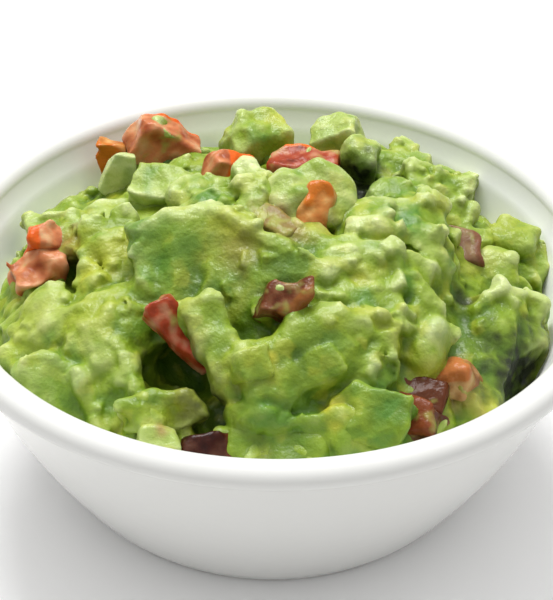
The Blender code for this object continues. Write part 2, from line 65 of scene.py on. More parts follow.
BOWL_LOW, BOWL_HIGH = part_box("bowl")
RIM_RADIUS = (BOWL_HIGH.x - BOWL_LOW.x) / 2 / MM
BOWL_HEIGHT = BOWL_HIGH.z / MM
LIP_RADIUS = 3.1
COLLAR_HEIGHT = 4.0
COLLAR_STEP = 1.1
FOOT_RADIUS = 41.5
FOOT_RING_WIDTH = 5.5
FOOT_RECESS = 1.6
HEEL_RADIUS = 0.9
WALL_SLOPE = 0.664
WALL_CURVE = 0.00465
WALL_THICKNESS = 4.3
WALL_TOP = 42.4
FLOOR_HEIGHT = 5.8
FLOOR_RADIUS = 33.0
FLOOR_CURVE_HEIGHT = 9.0
FLOOR_CURVE_CORNER = 2.0
BOWL_SEGMENTS = 192
SEAM_GAP = 0.003

MOUND_EDGE_HEIGHT = 31.0
MOUND_RISE = 20.0
MOUND_RADIUS = 57.0
MOUND_BACK = 2.0
MOUND_POWER = 0.8
MOUND_STEEPNESS = 0.75
INTO_WALL = 0.25
WALL_CLEARANCE = 0.1
PIECE_WALL_TOP = 44.0
WALL_STEEPNESS = 0.9

STEP = 0.5
PIECE_STEP = 0.36
HEAP_FACES = 96000
FIELD_REACH = 59.0
FIELD_BOTTOM = 24.0
FIELD_TOP = 66.0
FAR = 20.0

Lump = namedtuple("Lump", "at half turn round blend")
FIELDS = "name at half turn edge wild cover tint skin taper"
Piece = namedtuple("Piece", FIELDS, defaults=((0, 0, 1), 0.0))


# ---- noise


def lattice(seed, shape):
    return np.random.default_rng(seed).uniform(-1.0, 1.0, shape).astype(np.float32)


def spline_weights(coordinates, scale, low):
    """Cubic B-spline weights that spread lattice values along one axis of a grid."""
    place = (coordinates - low) / scale + 1.0
    cell = np.floor(place).astype(int)
    part = (place - cell).astype(np.float32)
    count = cell.max() + 4
    weights = np.zeros((len(coordinates), count), np.float32)
    rows = np.arange(len(coordinates))
    terms = (
        (1 - part) ** 3,
        3 * part**3 - 6 * part**2 + 4,
        -3 * part**3 + 3 * part**2 + 3 * part + 1,
        part**3,
    )
    for offset, term in enumerate(terms):
        weights[rows, cell + offset - 1] += term / 6.0
    return weights


SPLINE_GAIN = 2.2


def grid_noise(axes, scale, seed):
    """Smooth noise of about -1 to 1 over a whole grid."""
    weights = [spline_weights(axis, scale, axis[0]) for axis in axes]
    values = lattice(seed, tuple(w.shape[1] for w in weights))
    values = np.tensordot(weights[0], values, (1, 0))
    values = np.tensordot(values, weights[1], (1, 1)).transpose(0, 2, 1)
    values = np.tensordot(values, weights[2], (2, 1))
    return SPLINE_GAIN * values


TABLE_SIZE = 4096
GRADIENT_GAIN = 1.6
CORNERS = [tuple((number >> i) & 1 for i in range(3)) for number in range(8)]


def table_rows(order, cells):
    """The row of the table of random values that belongs to each cell of a lattice."""
    row = order[cells[:, 0] & (TABLE_SIZE - 1)]
    row = order[(row + cells[:, 1]) & (TABLE_SIZE - 1)]
    return order[(row + cells[:, 2]) & (TABLE_SIZE - 1)]


def gradient_noise(points, scale, seed):
    """Gradient noise of about -1 to 1 at single points, which has no flat plateaus."""
    random = np.random.default_rng(seed)
    table = random.normal(size=(TABLE_SIZE, 3)).astype(np.float32)
    table /= np.linalg.norm(table, axis=1, keepdims=True)
    order = random.permutation(TABLE_SIZE).astype(np.int32)
    place = points / scale + random.uniform(0, 100, 3)
    cell = np.floor(place).astype(np.int32)
    part = (place - cell).astype(np.float32)
    fade = part * part * part * (part * (part * 6 - 15) + 10)
    found = np.zeros(len(points), np.float32)
    for corner in CORNERS:
        gradient = table[table_rows(order, cell + np.array(corner))]
        weight = np.prod(np.where(corner, fade, 1 - fade), axis=1)
        found += weight * (gradient * (part - np.array(corner))).sum(1)
    return GRADIENT_GAIN * found


CHIP_SHARPNESS = 14.0
CHIP_STRAY = 0.35


def chips(points, size, seed):
    """Crushed flesh as cells: the height of each cell's own tilted plane, and its own value."""
    random = np.random.default_rng(seed)
    table = random.uniform(-1, 1, (TABLE_SIZE, 7)).astype(np.float32)
    order = random.permutation(TABLE_SIZE).astype(np.int32)
    place = (points / size + random.uniform(0, 100, 3)).astype(np.float32)
    low = np.floor(place - 0.5).astype(np.int32)
    total = np.full(len(points), 1e-9, np.float32)
    height = np.zeros(len(points), np.float32)
    value = np.zeros(len(points), np.float32)
    for corner in CORNERS:
        cell = low + np.array(corner)
        row = table[table_rows(order, cell)]
        offset = place - (cell + 0.5 + CHIP_STRAY * row[:, :3])
        weight = np.exp(-CHIP_SHARPNESS * (offset * offset).sum(1))
        total += weight
        height += weight * (row[:, 3:6] * offset).sum(1)
        value += weight * row[:, 6]
    return size * height / total, value / total


# ---- distance fields


def turn_axes(turn):
    """The 3 x 3 matrix of a yaw, a pitch and a roll in degrees."""
    yaw, pitch, roll = (math.radians(angle) for angle in turn)
    turned = Matrix.Rotation(yaw, 3, "Z") @ Matrix.Rotation(pitch, 3, "X")
    return np.array(turned @ Matrix.Rotation(roll, 3, "Y"), np.float32)


def local(x, y, z, axes):
    return [axes[0, i] * x + axes[1, i] * y + axes[2, i] * z for i in range(3)]


def box_distance(x, y, z, half, axes, rounding):
    """Distance to a box with rounded edges; x, y and z are measured from its middle."""
    rounding = min(rounding, 0.98 * min(half))
    over = [np.abs(q) - (h - rounding) for q, h in zip(local(x, y, z, axes), half)]
    outside = np.sqrt(sum(np.maximum(q, 0) ** 2 for q in over))
    inside = np.minimum(np.maximum(over[0], np.maximum(over[1], over[2])), 0)
    return outside + inside - rounding


def ellipsoid_distance(x, y, z, half, axes):
    placed = local(x, y, z, axes)
    near = np.sqrt(sum((q / h) ** 2 for q, h in zip(placed, half))) + 1e-6
    slope = np.sqrt(sum((q / h**2) ** 2 for q, h in zip(placed, half))) + 1e-6
    return near * (near - 1) / slope


def lump_distance(x, y, z, lump):
    axes = turn_axes(lump.turn)
    if lump.round is None:
        return ellipsoid_distance(x, y, z, lump.half, axes)
    return box_distance(x, y, z, lump.half, axes, lump.round)


def join(first, second, blend):
    """Union of two fields, with a fillet of about the blend's size where they meet."""
    near = np.maximum(blend - np.abs(first - second), 0) / blend
    return np.minimum(first, second) - near * near * blend / 4


def cut(first, second, blend):
    """The first field less the second."""
    return -join(-first, second, blend)


class Field:
    """A grid of signed distances, negative inside, over a box of space."""

    def __init__(self, low, high, step):
        self.step = step
        self.axes = [np.arange(a, b + step, step, dtype=np.float32) for a, b in zip(low, high)]
        self.shape = tuple(len(axis) for axis in self.axes)
        self.points = [
            np.broadcast_to(axis.reshape([-1 if i == j else 1 for j in range(3)]), self.shape)
            for i, axis in enumerate(self.axes)
        ]
        self.distance = np.full(self.shape, FAR, np.float32)

    def bend(self, amount, scale, seed):
        """Shifts the points at which shapes are measured, so that nothing stays regular."""
        self.points = [
            axis + amount * grid_noise(self.axes, scale, seed + i)
            for i, axis in enumerate(self.points)
        ]

    def near(self, centre, reach):
        """The part of the grid within reach of a point."""
        slices = []
        for axis, middle in zip(self.axes, centre):
            start = int((middle - reach - axis[0]) / self.step)
            stop = int((middle + reach - axis[0]) / self.step) + 2
            slices.append(slice(max(start, 0), min(max(stop, 0), len(axis))))
        return tuple(slices)

    def measured(self, centre, reach):
        part = self.near(centre, reach)
        return part, [axis[part] - middle for axis, middle in zip(self.points, centre)]

    def add(self, lump, carve=False):
        reach = max(lump.half) * 1.5 + lump.blend + 2.5
        part, (x, y, z) = self.measured(lump.at, reach)
        if x.size == 0:
            return
        shape = lump_distance(x, y, z, lump)
        change = cut if carve else join
        self.distance[part] = change(self.distance[part], shape, lump.blend)

    def add_line(self, points, blend, carve=False):
        """A rounded cord through (x, y, z, radius) points: a raised edge, or a crease."""
        for start, end in zip(points, points[1:]):
            start, end = np.array(start, float), np.array(end, float)
            middle = (start[:3] + end[:3]) / 2
            along = end[:3] - start[:3]
            length = float(along @ along)
            reach = math.sqrt(length) / 2 + max(start[3], end[3]) + blend + 2.0
            part, (x, y, z) = self.measured(middle, reach)
            if x.size == 0:
                continue
            place = np.clip((x * along[0] + y * along[1] + z * along[2]) / length + 0.5, 0, 1)
            off = [q - (place - 0.5) * a for q, a in zip((x, y, z), along)]
            radius = start[3] + (end[3] - start[3]) * place
            shape = np.sqrt(sum(q * q for q in off)) - radius
            change = cut if carve else join
            self.distance[part] = change(self.distance[part], shape, blend)

    def at(self, points):
        """The distance at given points, read between the grid's own."""
        place = [(points[:, i] - axis[0]) / self.step for i, axis in enumerate(self.axes)]
        cell = [np.clip(np.floor(p).astype(int), 0, n - 2) for p, n in zip(place, self.shape)]
        part = [np.clip(p - c, 0, 1) for p, c in zip(place, cell)]
        found = np.zeros(len(points))
        for corner in CORNERS:
            weight = math.prod(share if bit else 1 - share for bit, share in zip(corner, part))
            found += weight * self.distance[tuple(c + bit for c, bit in zip(cell, corner))]
        return found

    def averaged(self, radius):
        """A copy of the field in which each point holds the mean of the box around it."""
        reach = max(int(round(radius / self.step)), 1)
        values = np.clip(self.distance, -2 * radius, 2 * radius)
        for axis in range(3):
            padding = [(reach + 1, reach) if i == axis else (0, 0) for i in range(3)]
            total = np.cumsum(np.pad(values, padding, "edge"), axis=axis, dtype=np.float64)
            upper = np.take(total, range(2 * reach + 1, total.shape[axis]), axis=axis)
            lower = np.take(total, range(total.shape[axis] - 2 * reach - 1), axis=axis)
            values = ((upper - lower) / (2 * reach + 1)).astype(np.float32)
        copy = Field.__new__(Field)
        copy.step, copy.axes, copy.shape, copy.distance = self.step, self.axes, self.shape, values
        return copy

    def surface(self):
        """Surface nets: (points, quads) of the zero level, with the faces pointing out."""
        inside = self.distance < 0
        x, y, z = self.shape
        corners = [(i, j, k) for i in (0, 1) for j in (0, 1) for k in (0, 1)]
        count = sum(inside[i : x - 1 + i, j : y - 1 + j, k : z - 1 + k].astype(np.int8)
                    for i, j, k in corners)
        crossed = (count > 0) & (count < 8)
        cells = np.argwhere(crossed)
        index = np.full(crossed.shape, -1, np.int32)
        index[crossed] = np.arange(len(cells))
        total = np.zeros((len(cells), 3))
        weight = np.zeros(len(cells))
        for first in corners:
            for axis in range(3):
                if first[axis]:
                    continue
                second = tuple(1 if i == axis else v for i, v in enumerate(first))
                low = self.distance[tuple((cells + first).T)]
                high = self.distance[tuple((cells + second).T)]
                crosses = (low < 0) != (high < 0)
                share = np.where(crosses, low / np.where(crosses, low - high, 1.0), 0.0)
                place = np.array(first, float) + np.outer(share, np.eye(3)[axis])
                total += np.where(crosses[:, None], place, 0.0)
                weight += crosses
        origin = np.array([axis[0] for axis in self.axes])
        points = origin + self.step * (cells + total / weight[:, None])
        quads = []
        for axis in range(3):
            one, two = [(1, 2), (2, 0), (0, 1)][axis]
            low = tuple(slice(0, -1) if i == axis else slice(1, -1) for i in range(3))
            high = tuple(slice(1, None) if i == axis else slice(1, -1) for i in range(3))
            crosses = inside[low] != inside[high]
            where = np.argwhere(crosses)
            where[:, one] += 1
            where[:, two] += 1
            around = []
            for a, b in ((0, 0), (1, 0), (1, 1), (0, 1)):
                cell = where.copy()
                cell[:, one] -= 1 - a
                cell[:, two] -= 1 - b
                around.append(index[tuple(cell.T)])
            quad = np.stack(around, 1)
            outward = inside[low][crosses]
            quads.append(np.where(outward[:, None], quad, quad[:, ::-1]))
        return points, np.concatenate(quads)


# ---- the bowl


def outer_wall_radius(height):
    return FOOT_RADIUS + WALL_SLOPE * height - WALL_CURVE * height * height


def inner_wall_radius(height):
    return outer_wall_radius(height) - WALL_THICKNESS


def arc(centre, radius, start, end, steps):
    angles = [math.radians(start + (end - start) * step / steps) for step in range(steps + 1)]
    return [(centre[0] + radius * math.cos(a), centre[1] + radius * math.sin(a)) for a in angles]


def bowl_profile():
    """From the middle of the underside out over the lip to the middle of the floor."""
    collar_bottom = BOWL_HEIGHT - COLLAR_HEIGHT
    collar_radius = outer_wall_radius(collar_bottom) + COLLAR_STEP
    ring_inside = FOOT_RADIUS - FOOT_RING_WIDTH
    profile = [(0.0, FOOT_RECESS), (ring_inside - 2.6, FOOT_RECESS)]
    profile += arc((ring_inside - 2.2, FOOT_RECESS - 0.5), 0.5, 90, 30, 4)
    profile += [(ring_inside - 0.6, 0.35)]
    profile += arc((ring_inside + 0.4, 0.55), 0.55, 200, 270, 4)
    profile += arc((FOOT_RADIUS - HEEL_RADIUS, HEEL_RADIUS), HEEL_RADIUS, -90, -12, 8)
    for step in range(1, 25):
        height = HEEL_RADIUS + (collar_bottom - 0.5 - HEEL_RADIUS) * step / 24
        profile.append((outer_wall_radius(height), height))
    profile += arc((outer_wall_radius(collar_bottom) + 0.55, collar_bottom - 0.1), 0.42, 200, 300, 5)
    profile += arc((collar_radius - 0.5, collar_bottom + 0.7), 0.52, -50, 0, 4)
    profile += arc((RIM_RADIUS - LIP_RADIUS, BOWL_HEIGHT - LIP_RADIUS), LIP_RADIUS, 0, 180, 24)
    wall_foot = FLOOR_HEIGHT + FLOOR_CURVE_HEIGHT
    for step in range(16):
        height = WALL_TOP + (wall_foot - WALL_TOP) * step / 15
        profile.append((inner_wall_radius(height), height))
    corner = inner_wall_radius(FLOOR_HEIGHT + FLOOR_CURVE_CORNER)
    for step in range(1, 13):
        part = step / 12
        radius = (1 - part) ** 2 * inner_wall_radius(wall_foot) + 2 * part * (1 - part) * corner
        height = (1 - part) ** 2 * wall_foot + (1 - (1 - part) ** 2) * FLOOR_HEIGHT
        profile.append((radius + part**2 * FLOOR_RADIUS, height))
    profile.append((0.0, FLOOR_HEIGHT))
    return profile


def turned_mesh(name, profile, segments):
    """Spins a profile of (radius, height) points, whose ends lie on the axis, into a mesh."""
    spun = bmesh.new()
    points = [spun.verts.new((radius * MM, 0.0, height * MM)) for radius, height in profile]
    edges = [spun.edges.new(pair) for pair in zip(points, points[1:])]
    bmesh.ops.spin(spun, geom=points + edges, axis=(0, 0, 1), cent=(0, 0, 0),
                   steps=segments, angle=math.tau)
    bmesh.ops.remove_doubles(spun, verts=spun.verts, dist=SEAM_GAP * MM)
    bmesh.ops.recalc_face_normals(spun, faces=spun.faces)
    mesh = bpy.data.meshes.new(name)
    spun.to_mesh(mesh)
    spun.free()
    return mesh


# ---- the heap's forms


def block(at, half, turn=(0, 0, 0), rounding=3.0, blend=2.5):
    return Lump(at, half, turn, rounding, blend)


def ball(at, half, turn=(0, 0, 0), blend=3.0):
    return Lump(at, half, turn, None, blend)


def middle_fold():
    """The long fold behind the middle: a raised edge whose face slopes down to the front."""
    return [
        block((-19.4, -9.7, 49), (5.6, 10, 5), (18, 42, -10), 2.2, 2),
        block((-12.5, -10.8, 49.6), (7.5, 10, 5.5), (-4, 40, 0), 2.2, 2),
        block((-4.5, -15, 48.8), (8, 10, 5.5), (-26, 38, 6), 2.2, 2),
        block((3, -18.5, 48.3), (7, 8, 6), (-26, 35, 6)),
        ball((-21.5, -17, 45.5), (4.4, 7, 5), (25, 40, 0), 2),
        ball((-12.5, -3, 56), (5, 3.2, 3.4), (-8, 25, 0), 2),
        ball((-18.5, -4, 54.8), (4, 3.2, 3.4), (14, 25, 0), 2),
        ball((-6.5, -6.5, 56.3), (3.8, 3, 3.2), (-25, 25, 0), 2),
    ]


def front_fold():
    """The broad fold across the front, which hangs over a little along its lower edge."""
    return [
        block((8, -32.2, 46.4), (7, 8, 5.3), (-4, 42, 0), 3.2),
        block((-1, -35.6, 44.8), (5.6, 6.5, 5), (14, 42, 0), 2.8, 2),
        block((14, -30, 45.8), (7, 8, 5.6), (8, 42, 4), 3.2),
        block((6.9, -37.5, 47.2), (5.8, 3, 1.6), (38.8, 34, -30.9), 0.35, 0.4),
        ball((-3.2, -37.6, 44), (3.6, 3.4, 3.6), (10, 35, 0), 1.2),
        ball((1.5, -39.3, 43.6), (3.6, 2.6, 3.4), (0, 40, 0), 1.2),
    ]


def finger():
    """The long lobe beside the wedge of tomato, from the middle down to the front."""
    return [
        block((-11, -28.6, 50.2), (3.6, 5.6, 2.6), (24, 30, -10), 1.6, 1.0),
        block((-8, -34.2, 47.2), (3.2, 5.4, 2.6), (16, 34, -8), 1.4, 1.2),
        ball((-15, -25.4, 51.4), (2.3, 2.8, 2.6), (10, 20, 0), 0.8),
        ball((-11.4, -25, 52.4), (2.4, 2.8, 2.7), (10, 20, 0), 0.8),
        ball((-6.2, -37.4, 44.4), (3.2, 3.6, 3.0), (20, 30, 0), 1.2),
    ]


def right_middle():
    """The soft mass to the right of both folds, the highest part of the heap's right half."""
    return [
        ball((12, -12.5, 50), (9, 8, 6.6), (0, 30, 0), 3),
        ball((20, 0, 50.3), (8.5, 8.5, 7), (0, 25, 10), 3),
        ball((26.5, 4.5, 47.5), (7.5, 8.5, 8), (-10, 20, 20), 3),
        ball((27, -5, 46), (8, 9, 8), (-10, 20, 20), 3),
        ball((17, -15, 48), (10, 9, 7), (0, 30, 0), 4),
        ball((23, -19, 45.5), (8, 8, 7), (0, 30, 10), 3),
        ball((19.5, -26, 43), (8, 7, 8), (0, 30, 0), 3),
        ball((28.3, -24, 43.5), (3.9, 5, 7.4), (-15, 15, 6), 1.2),
        ball((27.6, -27.8, 43), (3.6, 4, 5), (-10, 20, 0), 1.5),
        ball((26, -19, 49), (3.6, 3, 3), (-10, 25, 0), 2),
        block((7.2, -17.5, 54.3), (3.6, 2.6, 2.6), (-25, 25, 0), 1.6, 1.6),
        block((12.5, -14.3, 55.2), (3.4, 2.4, 2.2), (20, 25, 0), 1.4, 1.6),
        block((19.5, -12.3, 54), (3.8, 2.6, 2.4), (-12, 20, 8), 1.4, 1.6),
        block((26, -12, 51.3), (3.6, 3, 2.6), (-30, 25, 15), 1.4, 1.6),
        block((15, -20.5, 51.5), (3.6, 2.6, 2.2), (12, 30, 0), 1.4, 1.6),
        ball((9, -22, 50.8), (3.4, 2.6, 2.6), (0, 25, 0), 2),
        ball((22.5, -21.5, 49.5), (3.4, 3, 2.4), (0, 30, 0), 2),
        block((27.5, -3, 53), (3.4, 2.4, 2), (-20, 15, 14), 1.2, 1.5),
        block((20.8, -4.5, 56.2), (3, 2.2, 1.8), (25, 15, 8), 1.2, 1.5),
        block((16.5, -5.2, 56), (3.2, 2.2, 1.8), (-12, 15, 0), 1.2, 1.5),
    ]


def left_side():
    """The lower lumps on the left, from the wall's front to its back."""
    return [
        ball((-29.5, -21.5, 42.5), (10, 9, 6.5), (10, 25, -8), 2.5),
        ball((-40, -13.5, 40), (8, 7, 6.5), (10, 25, -10)),
        ball((-46.5, -13, 36), (4.6, 4.4, 4), (10, 20, -20), 1.5),
        block((-35, -29.5, 35.5), (11, 8.5, 6.5), (22, 42, -8), 3, 1.6),
        block((-29.5, -33.5, 36.5), (5, 8, 5), (28, 42, -4), 2, 1.4),
        ball((-27.5, -28.5, 42), (4.6, 4.4, 4.6), (20, 30, 0), 1.5),
        ball((-24.8, -32.3, 41), (3.8, 3.8, 4.6), (10, 30, 0), 1.5),
        block((-23.2, -35.8, 41.2), (1.8, 2, 3.6), (0, 25, 5), 0.9, 1.2),
        ball((-31, -24, 45.6), (4.4, 3.4, 3), (10, 20, 0), 1.5),
        ball((-25.8, -21.5, 46.5), (3.8, 3, 3.2), (0, 20, 0), 1.5),
        ball((-39, -19, 43.2), (4.4, 3, 2.8), (-10, 25, -10), 1.6),
        ball((-46, -20.5, 33.5), (5, 5, 6), (30, 30, -20), 2),
        block((-40.5, -22.5, 38.8), (5.5, 3, 2.4), (-30, 30, -10), 1.4, 1.4),
    ]


def left_back():
    """The lumps round the tomato on the left, with a crescent ridge before them."""
    return [
        block((-42, 12, 38.4), (6.5, 6, 6), (10, 10, -18), 2.2, 2),
        block((-38.2, 5.5, 43.5), (3.4, 4.5, 5), (10, 20, -10), 1.8, 1.2),
        block((-34.2, 1, 45.5), (3, 5.5, 5.5), (10, 25, -5), 1.8, 1.0),
        block((-29.3, 4, 46.5), (3.4, 4.5, 5), (-5, 25, 5), 1.8, 1.2),
        block((-28.8, -3.5, 45), (4, 5.5, 4.5), (20, 30, -5), 1.8, 1.4),
        ball((-33, 12, 43.4), (5.5, 5, 4.8), (20, 20, 0), 2),
        ball((-46.5, 3, 36.5), (5, 6, 5), (10, 20, -20), 2),
    ]


def back_side():
    """The loose lumps behind the folds, between the chunks and the tomato."""
    return [
        block((-36.4, 19, 37.4), (6, 4, 4.6), (0, 10, 0), 1.5, 1.2),
        block((-30, 16.4, 42.4), (6, 4, 4), (0, 20, 0), 1.5, 1.5),
        block((-4.4, 10, 52.6), (2.8, 6.2, 5), (25, 9, -4), 0.9, 1.0),
        block((-3, 4, 55), (4.4, 6, 3.6), (25, 25, 10), 1.6, 2),
        ball((-14.5, 12.5, 51), (7, 5, 4.4), (0, 20, 0), 2),
        ball((-11.5, 4.5, 52.6), (7, 5, 3.6), (0, 10, 0), 2),
        ball((6, -7.5, 53.4), (6.5, 4.4, 4.2), (0, 10, 0), 1.5),
        block((27.5, 40.5, 43), (2.8, 2.6, 3.6), (0, 0, 0), 1.2, 1),
        block((26.5, 31, 44.6), (6, 5, 4.6), (0, 15, 0), 1.8, 1.5),
        block((31.5, 22, 45), (7, 6.5, 5.4), (-18, 20, 18), 1.2, 1.5),
        block((36.6, 17.6, 41.4), (3.6, 4.5, 5.4), (-18, 16, 8), 1.0, 1.0),
        block((41, 11.5, 42), (2.6, 2.2, 2.4), (0, 20, 0), 0.9, 0.8),
        ball((24, 14, 49), (7, 6, 4.6), (-10, 20, 10), 2),
    ]


def far_side():
    """The lumps that the farthest chunks and tomato lie on, down to the wall behind them."""
    return [
        ball((-4, 36, 40.5), (9, 8, 5.5), (10, -10, 0)),
        ball((12, 36, 41), (9, 7, 6), (-5, -12, 5)),
        ball((-25, 36, 39.5), (10, 6, 6), (15, -10, 0)),
        block((-35, 33, 31.6), (6, 6, 6), (20, -10, -10)),
        block((-14, 29, 43), (7, 6, 5.5), (-15, 0, 0)),
        ball((5, 25, 45), (9, 5, 5), (0, 0, 0)),
        block((4, 45, 37.5), (9, 6, 5), (5, -15, 0)),
        block((-14, 44, 37), (8, 6, 5.5), (15, -15, 0)),
        block((23, 41, 38), (8, 7, 5.5), (-25, -10, 5)),
        block((35, 33, 38), (6, 7, 6), (-40, -10, 0)),
        block((-43, 26, 33), (6, 7, 5), (30, 0, -10)),
        block((44, 22, 32), (6, 7, 5), (-30, 0, 10)),
    ]


def right_side():
    """The lower lumps on the right, with the sharp ridge above the gap at the wall."""
    return [
        ball((41, -14, 36.5), (8.5, 8, 7.5), (-20, 30, 12), 2),
        block((43, -9.4, 40.4), (5, 2.6, 3.4), (8, 35, -8), 1.0, 1.2),
        block((37, -11.5, 40.5), (4, 2.6, 3.4), (22, 35, 10), 1.0, 1.2),
        block((48.5, -7.5, 37.5), (3.4, 4.5, 5), (-40, 30, 14), 1.4, 1.2),
        ball((49.3, -13.5, 33.5), (3.2, 5, 6), (-15, 20, 10), 1.2),
        ball((38, -22.5, 34), (8, 6, 7.5), (-25, 30, 8), 2),
        ball((35, -30, 34), (7, 5, 6), (-25, 30, 5), 2),
        block((52.5, 12, 34), (4.4, 7, 6), (-20, 10, 0), 1.5, 1.2),
        ball((45.5, -1, 37), (6, 6, 5), (-20, 20, 0), 2),
    ]


def front_low():
    """What lies lowest, along the wall at the front."""
    return [
        ball((-1.2, -41.6, 40.4), (6.6, 3.8, 4.4), (-8, 35, 0), 0.6),
        ball((13, -44.5, 37.3), (5.8, 4.4, 5), (-5, 25, 0), 1.6),
        block((13.2, -38.5, 41), (5, 4, 4), (10, 40, 0), 2, 1.6),
        ball((-8, -43.8, 38), (1.6, 1.5, 1.8), (0, 30, 0), 0.6),
        block((9.6, -43.6, 40.6), (1.7, 3.4, 1.5), (-24, 46, 0), 0.8, 0.6),
        ball((6, -41.6, 39.4), (6.5, 3.8, 4.6), (-10, 30, 0), 1.0),
        ball((-21.4, -39.6, 41.4), (3, 2.4, 2.8), (0, 30, 0), 0.9),
    ]


# Rounded cords through x, y, z and radius: raised edges, and the creases that part the lumps
EDGES = [
    [(-25.8, -8.4, 52.6, 1.0), (-23.4, -6.2, 55.2, 1.2), (-19.5, -4.8, 57.6, 1.3), (-15, -5, 58.7, 1.1),
     (-11, -6, 59.3, 1.3), (-8, -8, 59.2, 1.1), (-5, -10.5, 58.7, 1.2), (0, -13.3, 57.9, 1.1),
     (5, -16, 56.8, 1.2)],
    [(-24.6, -12, 52, 0.9), (-23.4, -15, 51, 0.9), (-22, -18, 49.6, 0.6)],
    [(-5.4, -33.4, 48.6, 1.0), (-1.5, -33.4, 49.4, 1.0), (2.4, -31.4, 50.8, 1.2),
     (6.5, -28.8, 52.4, 1.3), (11.5, -28.4, 52.2, 1.2), (14.5, -29.8, 50.8, 1.1)],
    [(33, -13, 45.6, 1.0), (36.2, -13.4, 44, 1.1), (39.5, -11.8, 44.8, 1.0), (43, -9.8, 45.4, 1.0),
     (46.5, -8.6, 43.6, 1.0), (49.5, -7.6, 40.8, 1.1), (51.6, -7.5, 37.4, 1.1)],
    [(-36.5, -3, 48.6, 0.9), (-35.6, -7, 47.6, 1.1), (-33.5, -9.6, 46.6, 1.2), (-31, -10, 46.2, 0.9)],
    [(-34, 6.5, 49.8, 1.0), (-36.8, 5, 48.6, 1.1)],
    [(-6.6, 15.4, 57, 0.9), (-4, 10.5, 57.4, 1.0), (-1.6, 5, 56.6, 1.0)],
    [(-48, -16, 39, 1.2), (-42, -21, 41.2, 1.3), (-35, -25.5, 43.4, 1.3), (-30, -27.5, 45.6, 1.2)],
]
CREASES = [
    [(1, -22.5, 56, 0.6), (7, -24.5, 54.6, 1.0), (13, -25.5, 53.2, 1.0), (17, -27, 51.6, 0.6)],
    [(24.2, -20, 52, 0.7), (23.8, -26, 49.6, 1.1), (23.5, -32, 45.5, 1.2), (23.6, -35, 42.4, 1.0)],
    [(-33.8, -30.5, 44.6, 0.7), (-31, -35, 43.3, 1.1), (-28.3, -38.5, 41.9, 1.2),
     (-24.4, -42.3, 39.6, 1.0)],
    [(-44, -26, 42, 0.5), (-39, -27.5, 43, 0.8), (-33.6, -31.4, 44.6, 0.6)],
    [(4, -46.6, 43, 0.6), (7, -47.6, 41, 1.2), (10, -48.4, 38.8, 0.8)],
    [(2.4, -43.2, 42.6, 0.8), (7, -42, 44.2, 1.5), (11, -41, 45.6, 1.7), (14.5, -40, 46.8, 1.1)],
    [(34.2, -9, 47, 1.2), (35.8, -9.8, 45, 1.9), (38.4, -8.6, 45.4, 1.5)],
    [(34.6, -1, 50, 1.2), (34.8, -8, 47, 1.4), (34.8, -16, 44.5, 1.4), (33.4, -23, 43, 1.3),
     (32.4, -28, 41.4, 1.0)],
    [(46.5, -14, 42.5, 0.8), (46.2, -19, 39.4, 1.2), (45.2, -23, 36.5, 1.2)],
    [(-15, -15, 56.6, 0.7), (-20, -15, 55.2, 1.3), (-23, -11.5, 55.8, 0.9)],
    [(-10, -15, 56.4, 0.6), (-6.5, -16.6, 56.2, 1.1), (-2.5, -17.6, 56.6, 0.7)],
    [(-17, 1, 57.6, 0.9), (-12, 0.6, 58, 1.3), (-8, -1.4, 58.4, 0.9)],
    [(-22, -23.5, 50, 0.9), (-17, -21.5, 51.6, 1.2), (-11, -20.6, 53, 1.0)],
    [(-37.5, 11, 48.8, 0.9), (-32.6, 7.6, 49, 1.3)],
]
HOLLOWS = [
    ball((-15.4, -30.5, 41.4), (7.8, 12, 7), (0, -36, 0), 1.0),
    ball((-9.4, -39, 40.4), (5.2, 9.5, 6.6), (10, -36, 0), 1.0),
    ball((-20, -27, 48), (3.4, 4.5, 4.6), (0, -20, 0), 1.2),
    ball((-37.9, -5.5, 43.5), (2.7, 7.5, 5), (0, -25, 0), 0.7),
    ball((49.4, -24, 35), (5.8, 10.5, 9), (-28, -30, 0), 0.6),
    ball((16, 18.5, 50.5), (3.6, 5, 8.5), (0, -30, 0), 0.6),
    ball((-40, 27, 45.4), (8, 8, 5.6), (30, 0, -14), 1.5),
    ball((46, 24, 44), (5, 6, 6), (-30, 0, 0), 1.5),
    ball((22.5, 22, 50.5), (4, 3, 5), (0, 0, 0), 1.2),
    ball((-27.6, 27, 50), (2.6, 4, 4.6), (0, 0, 0), 1.0),
    ball((1.2, -25.5, 55.5), (4.4, 5.2, 5.6), (0, 20, 0), 1.2),
]


def mound_height(x, y):
    radius = np.hypot(x, y - MOUND_BACK)
    share = np.maximum(1.0 - (radius / MOUND_RADIUS) ** 2, 0.0)
    return MOUND_EDGE_HEIGHT + MOUND_RISE * share**MOUND_POWER


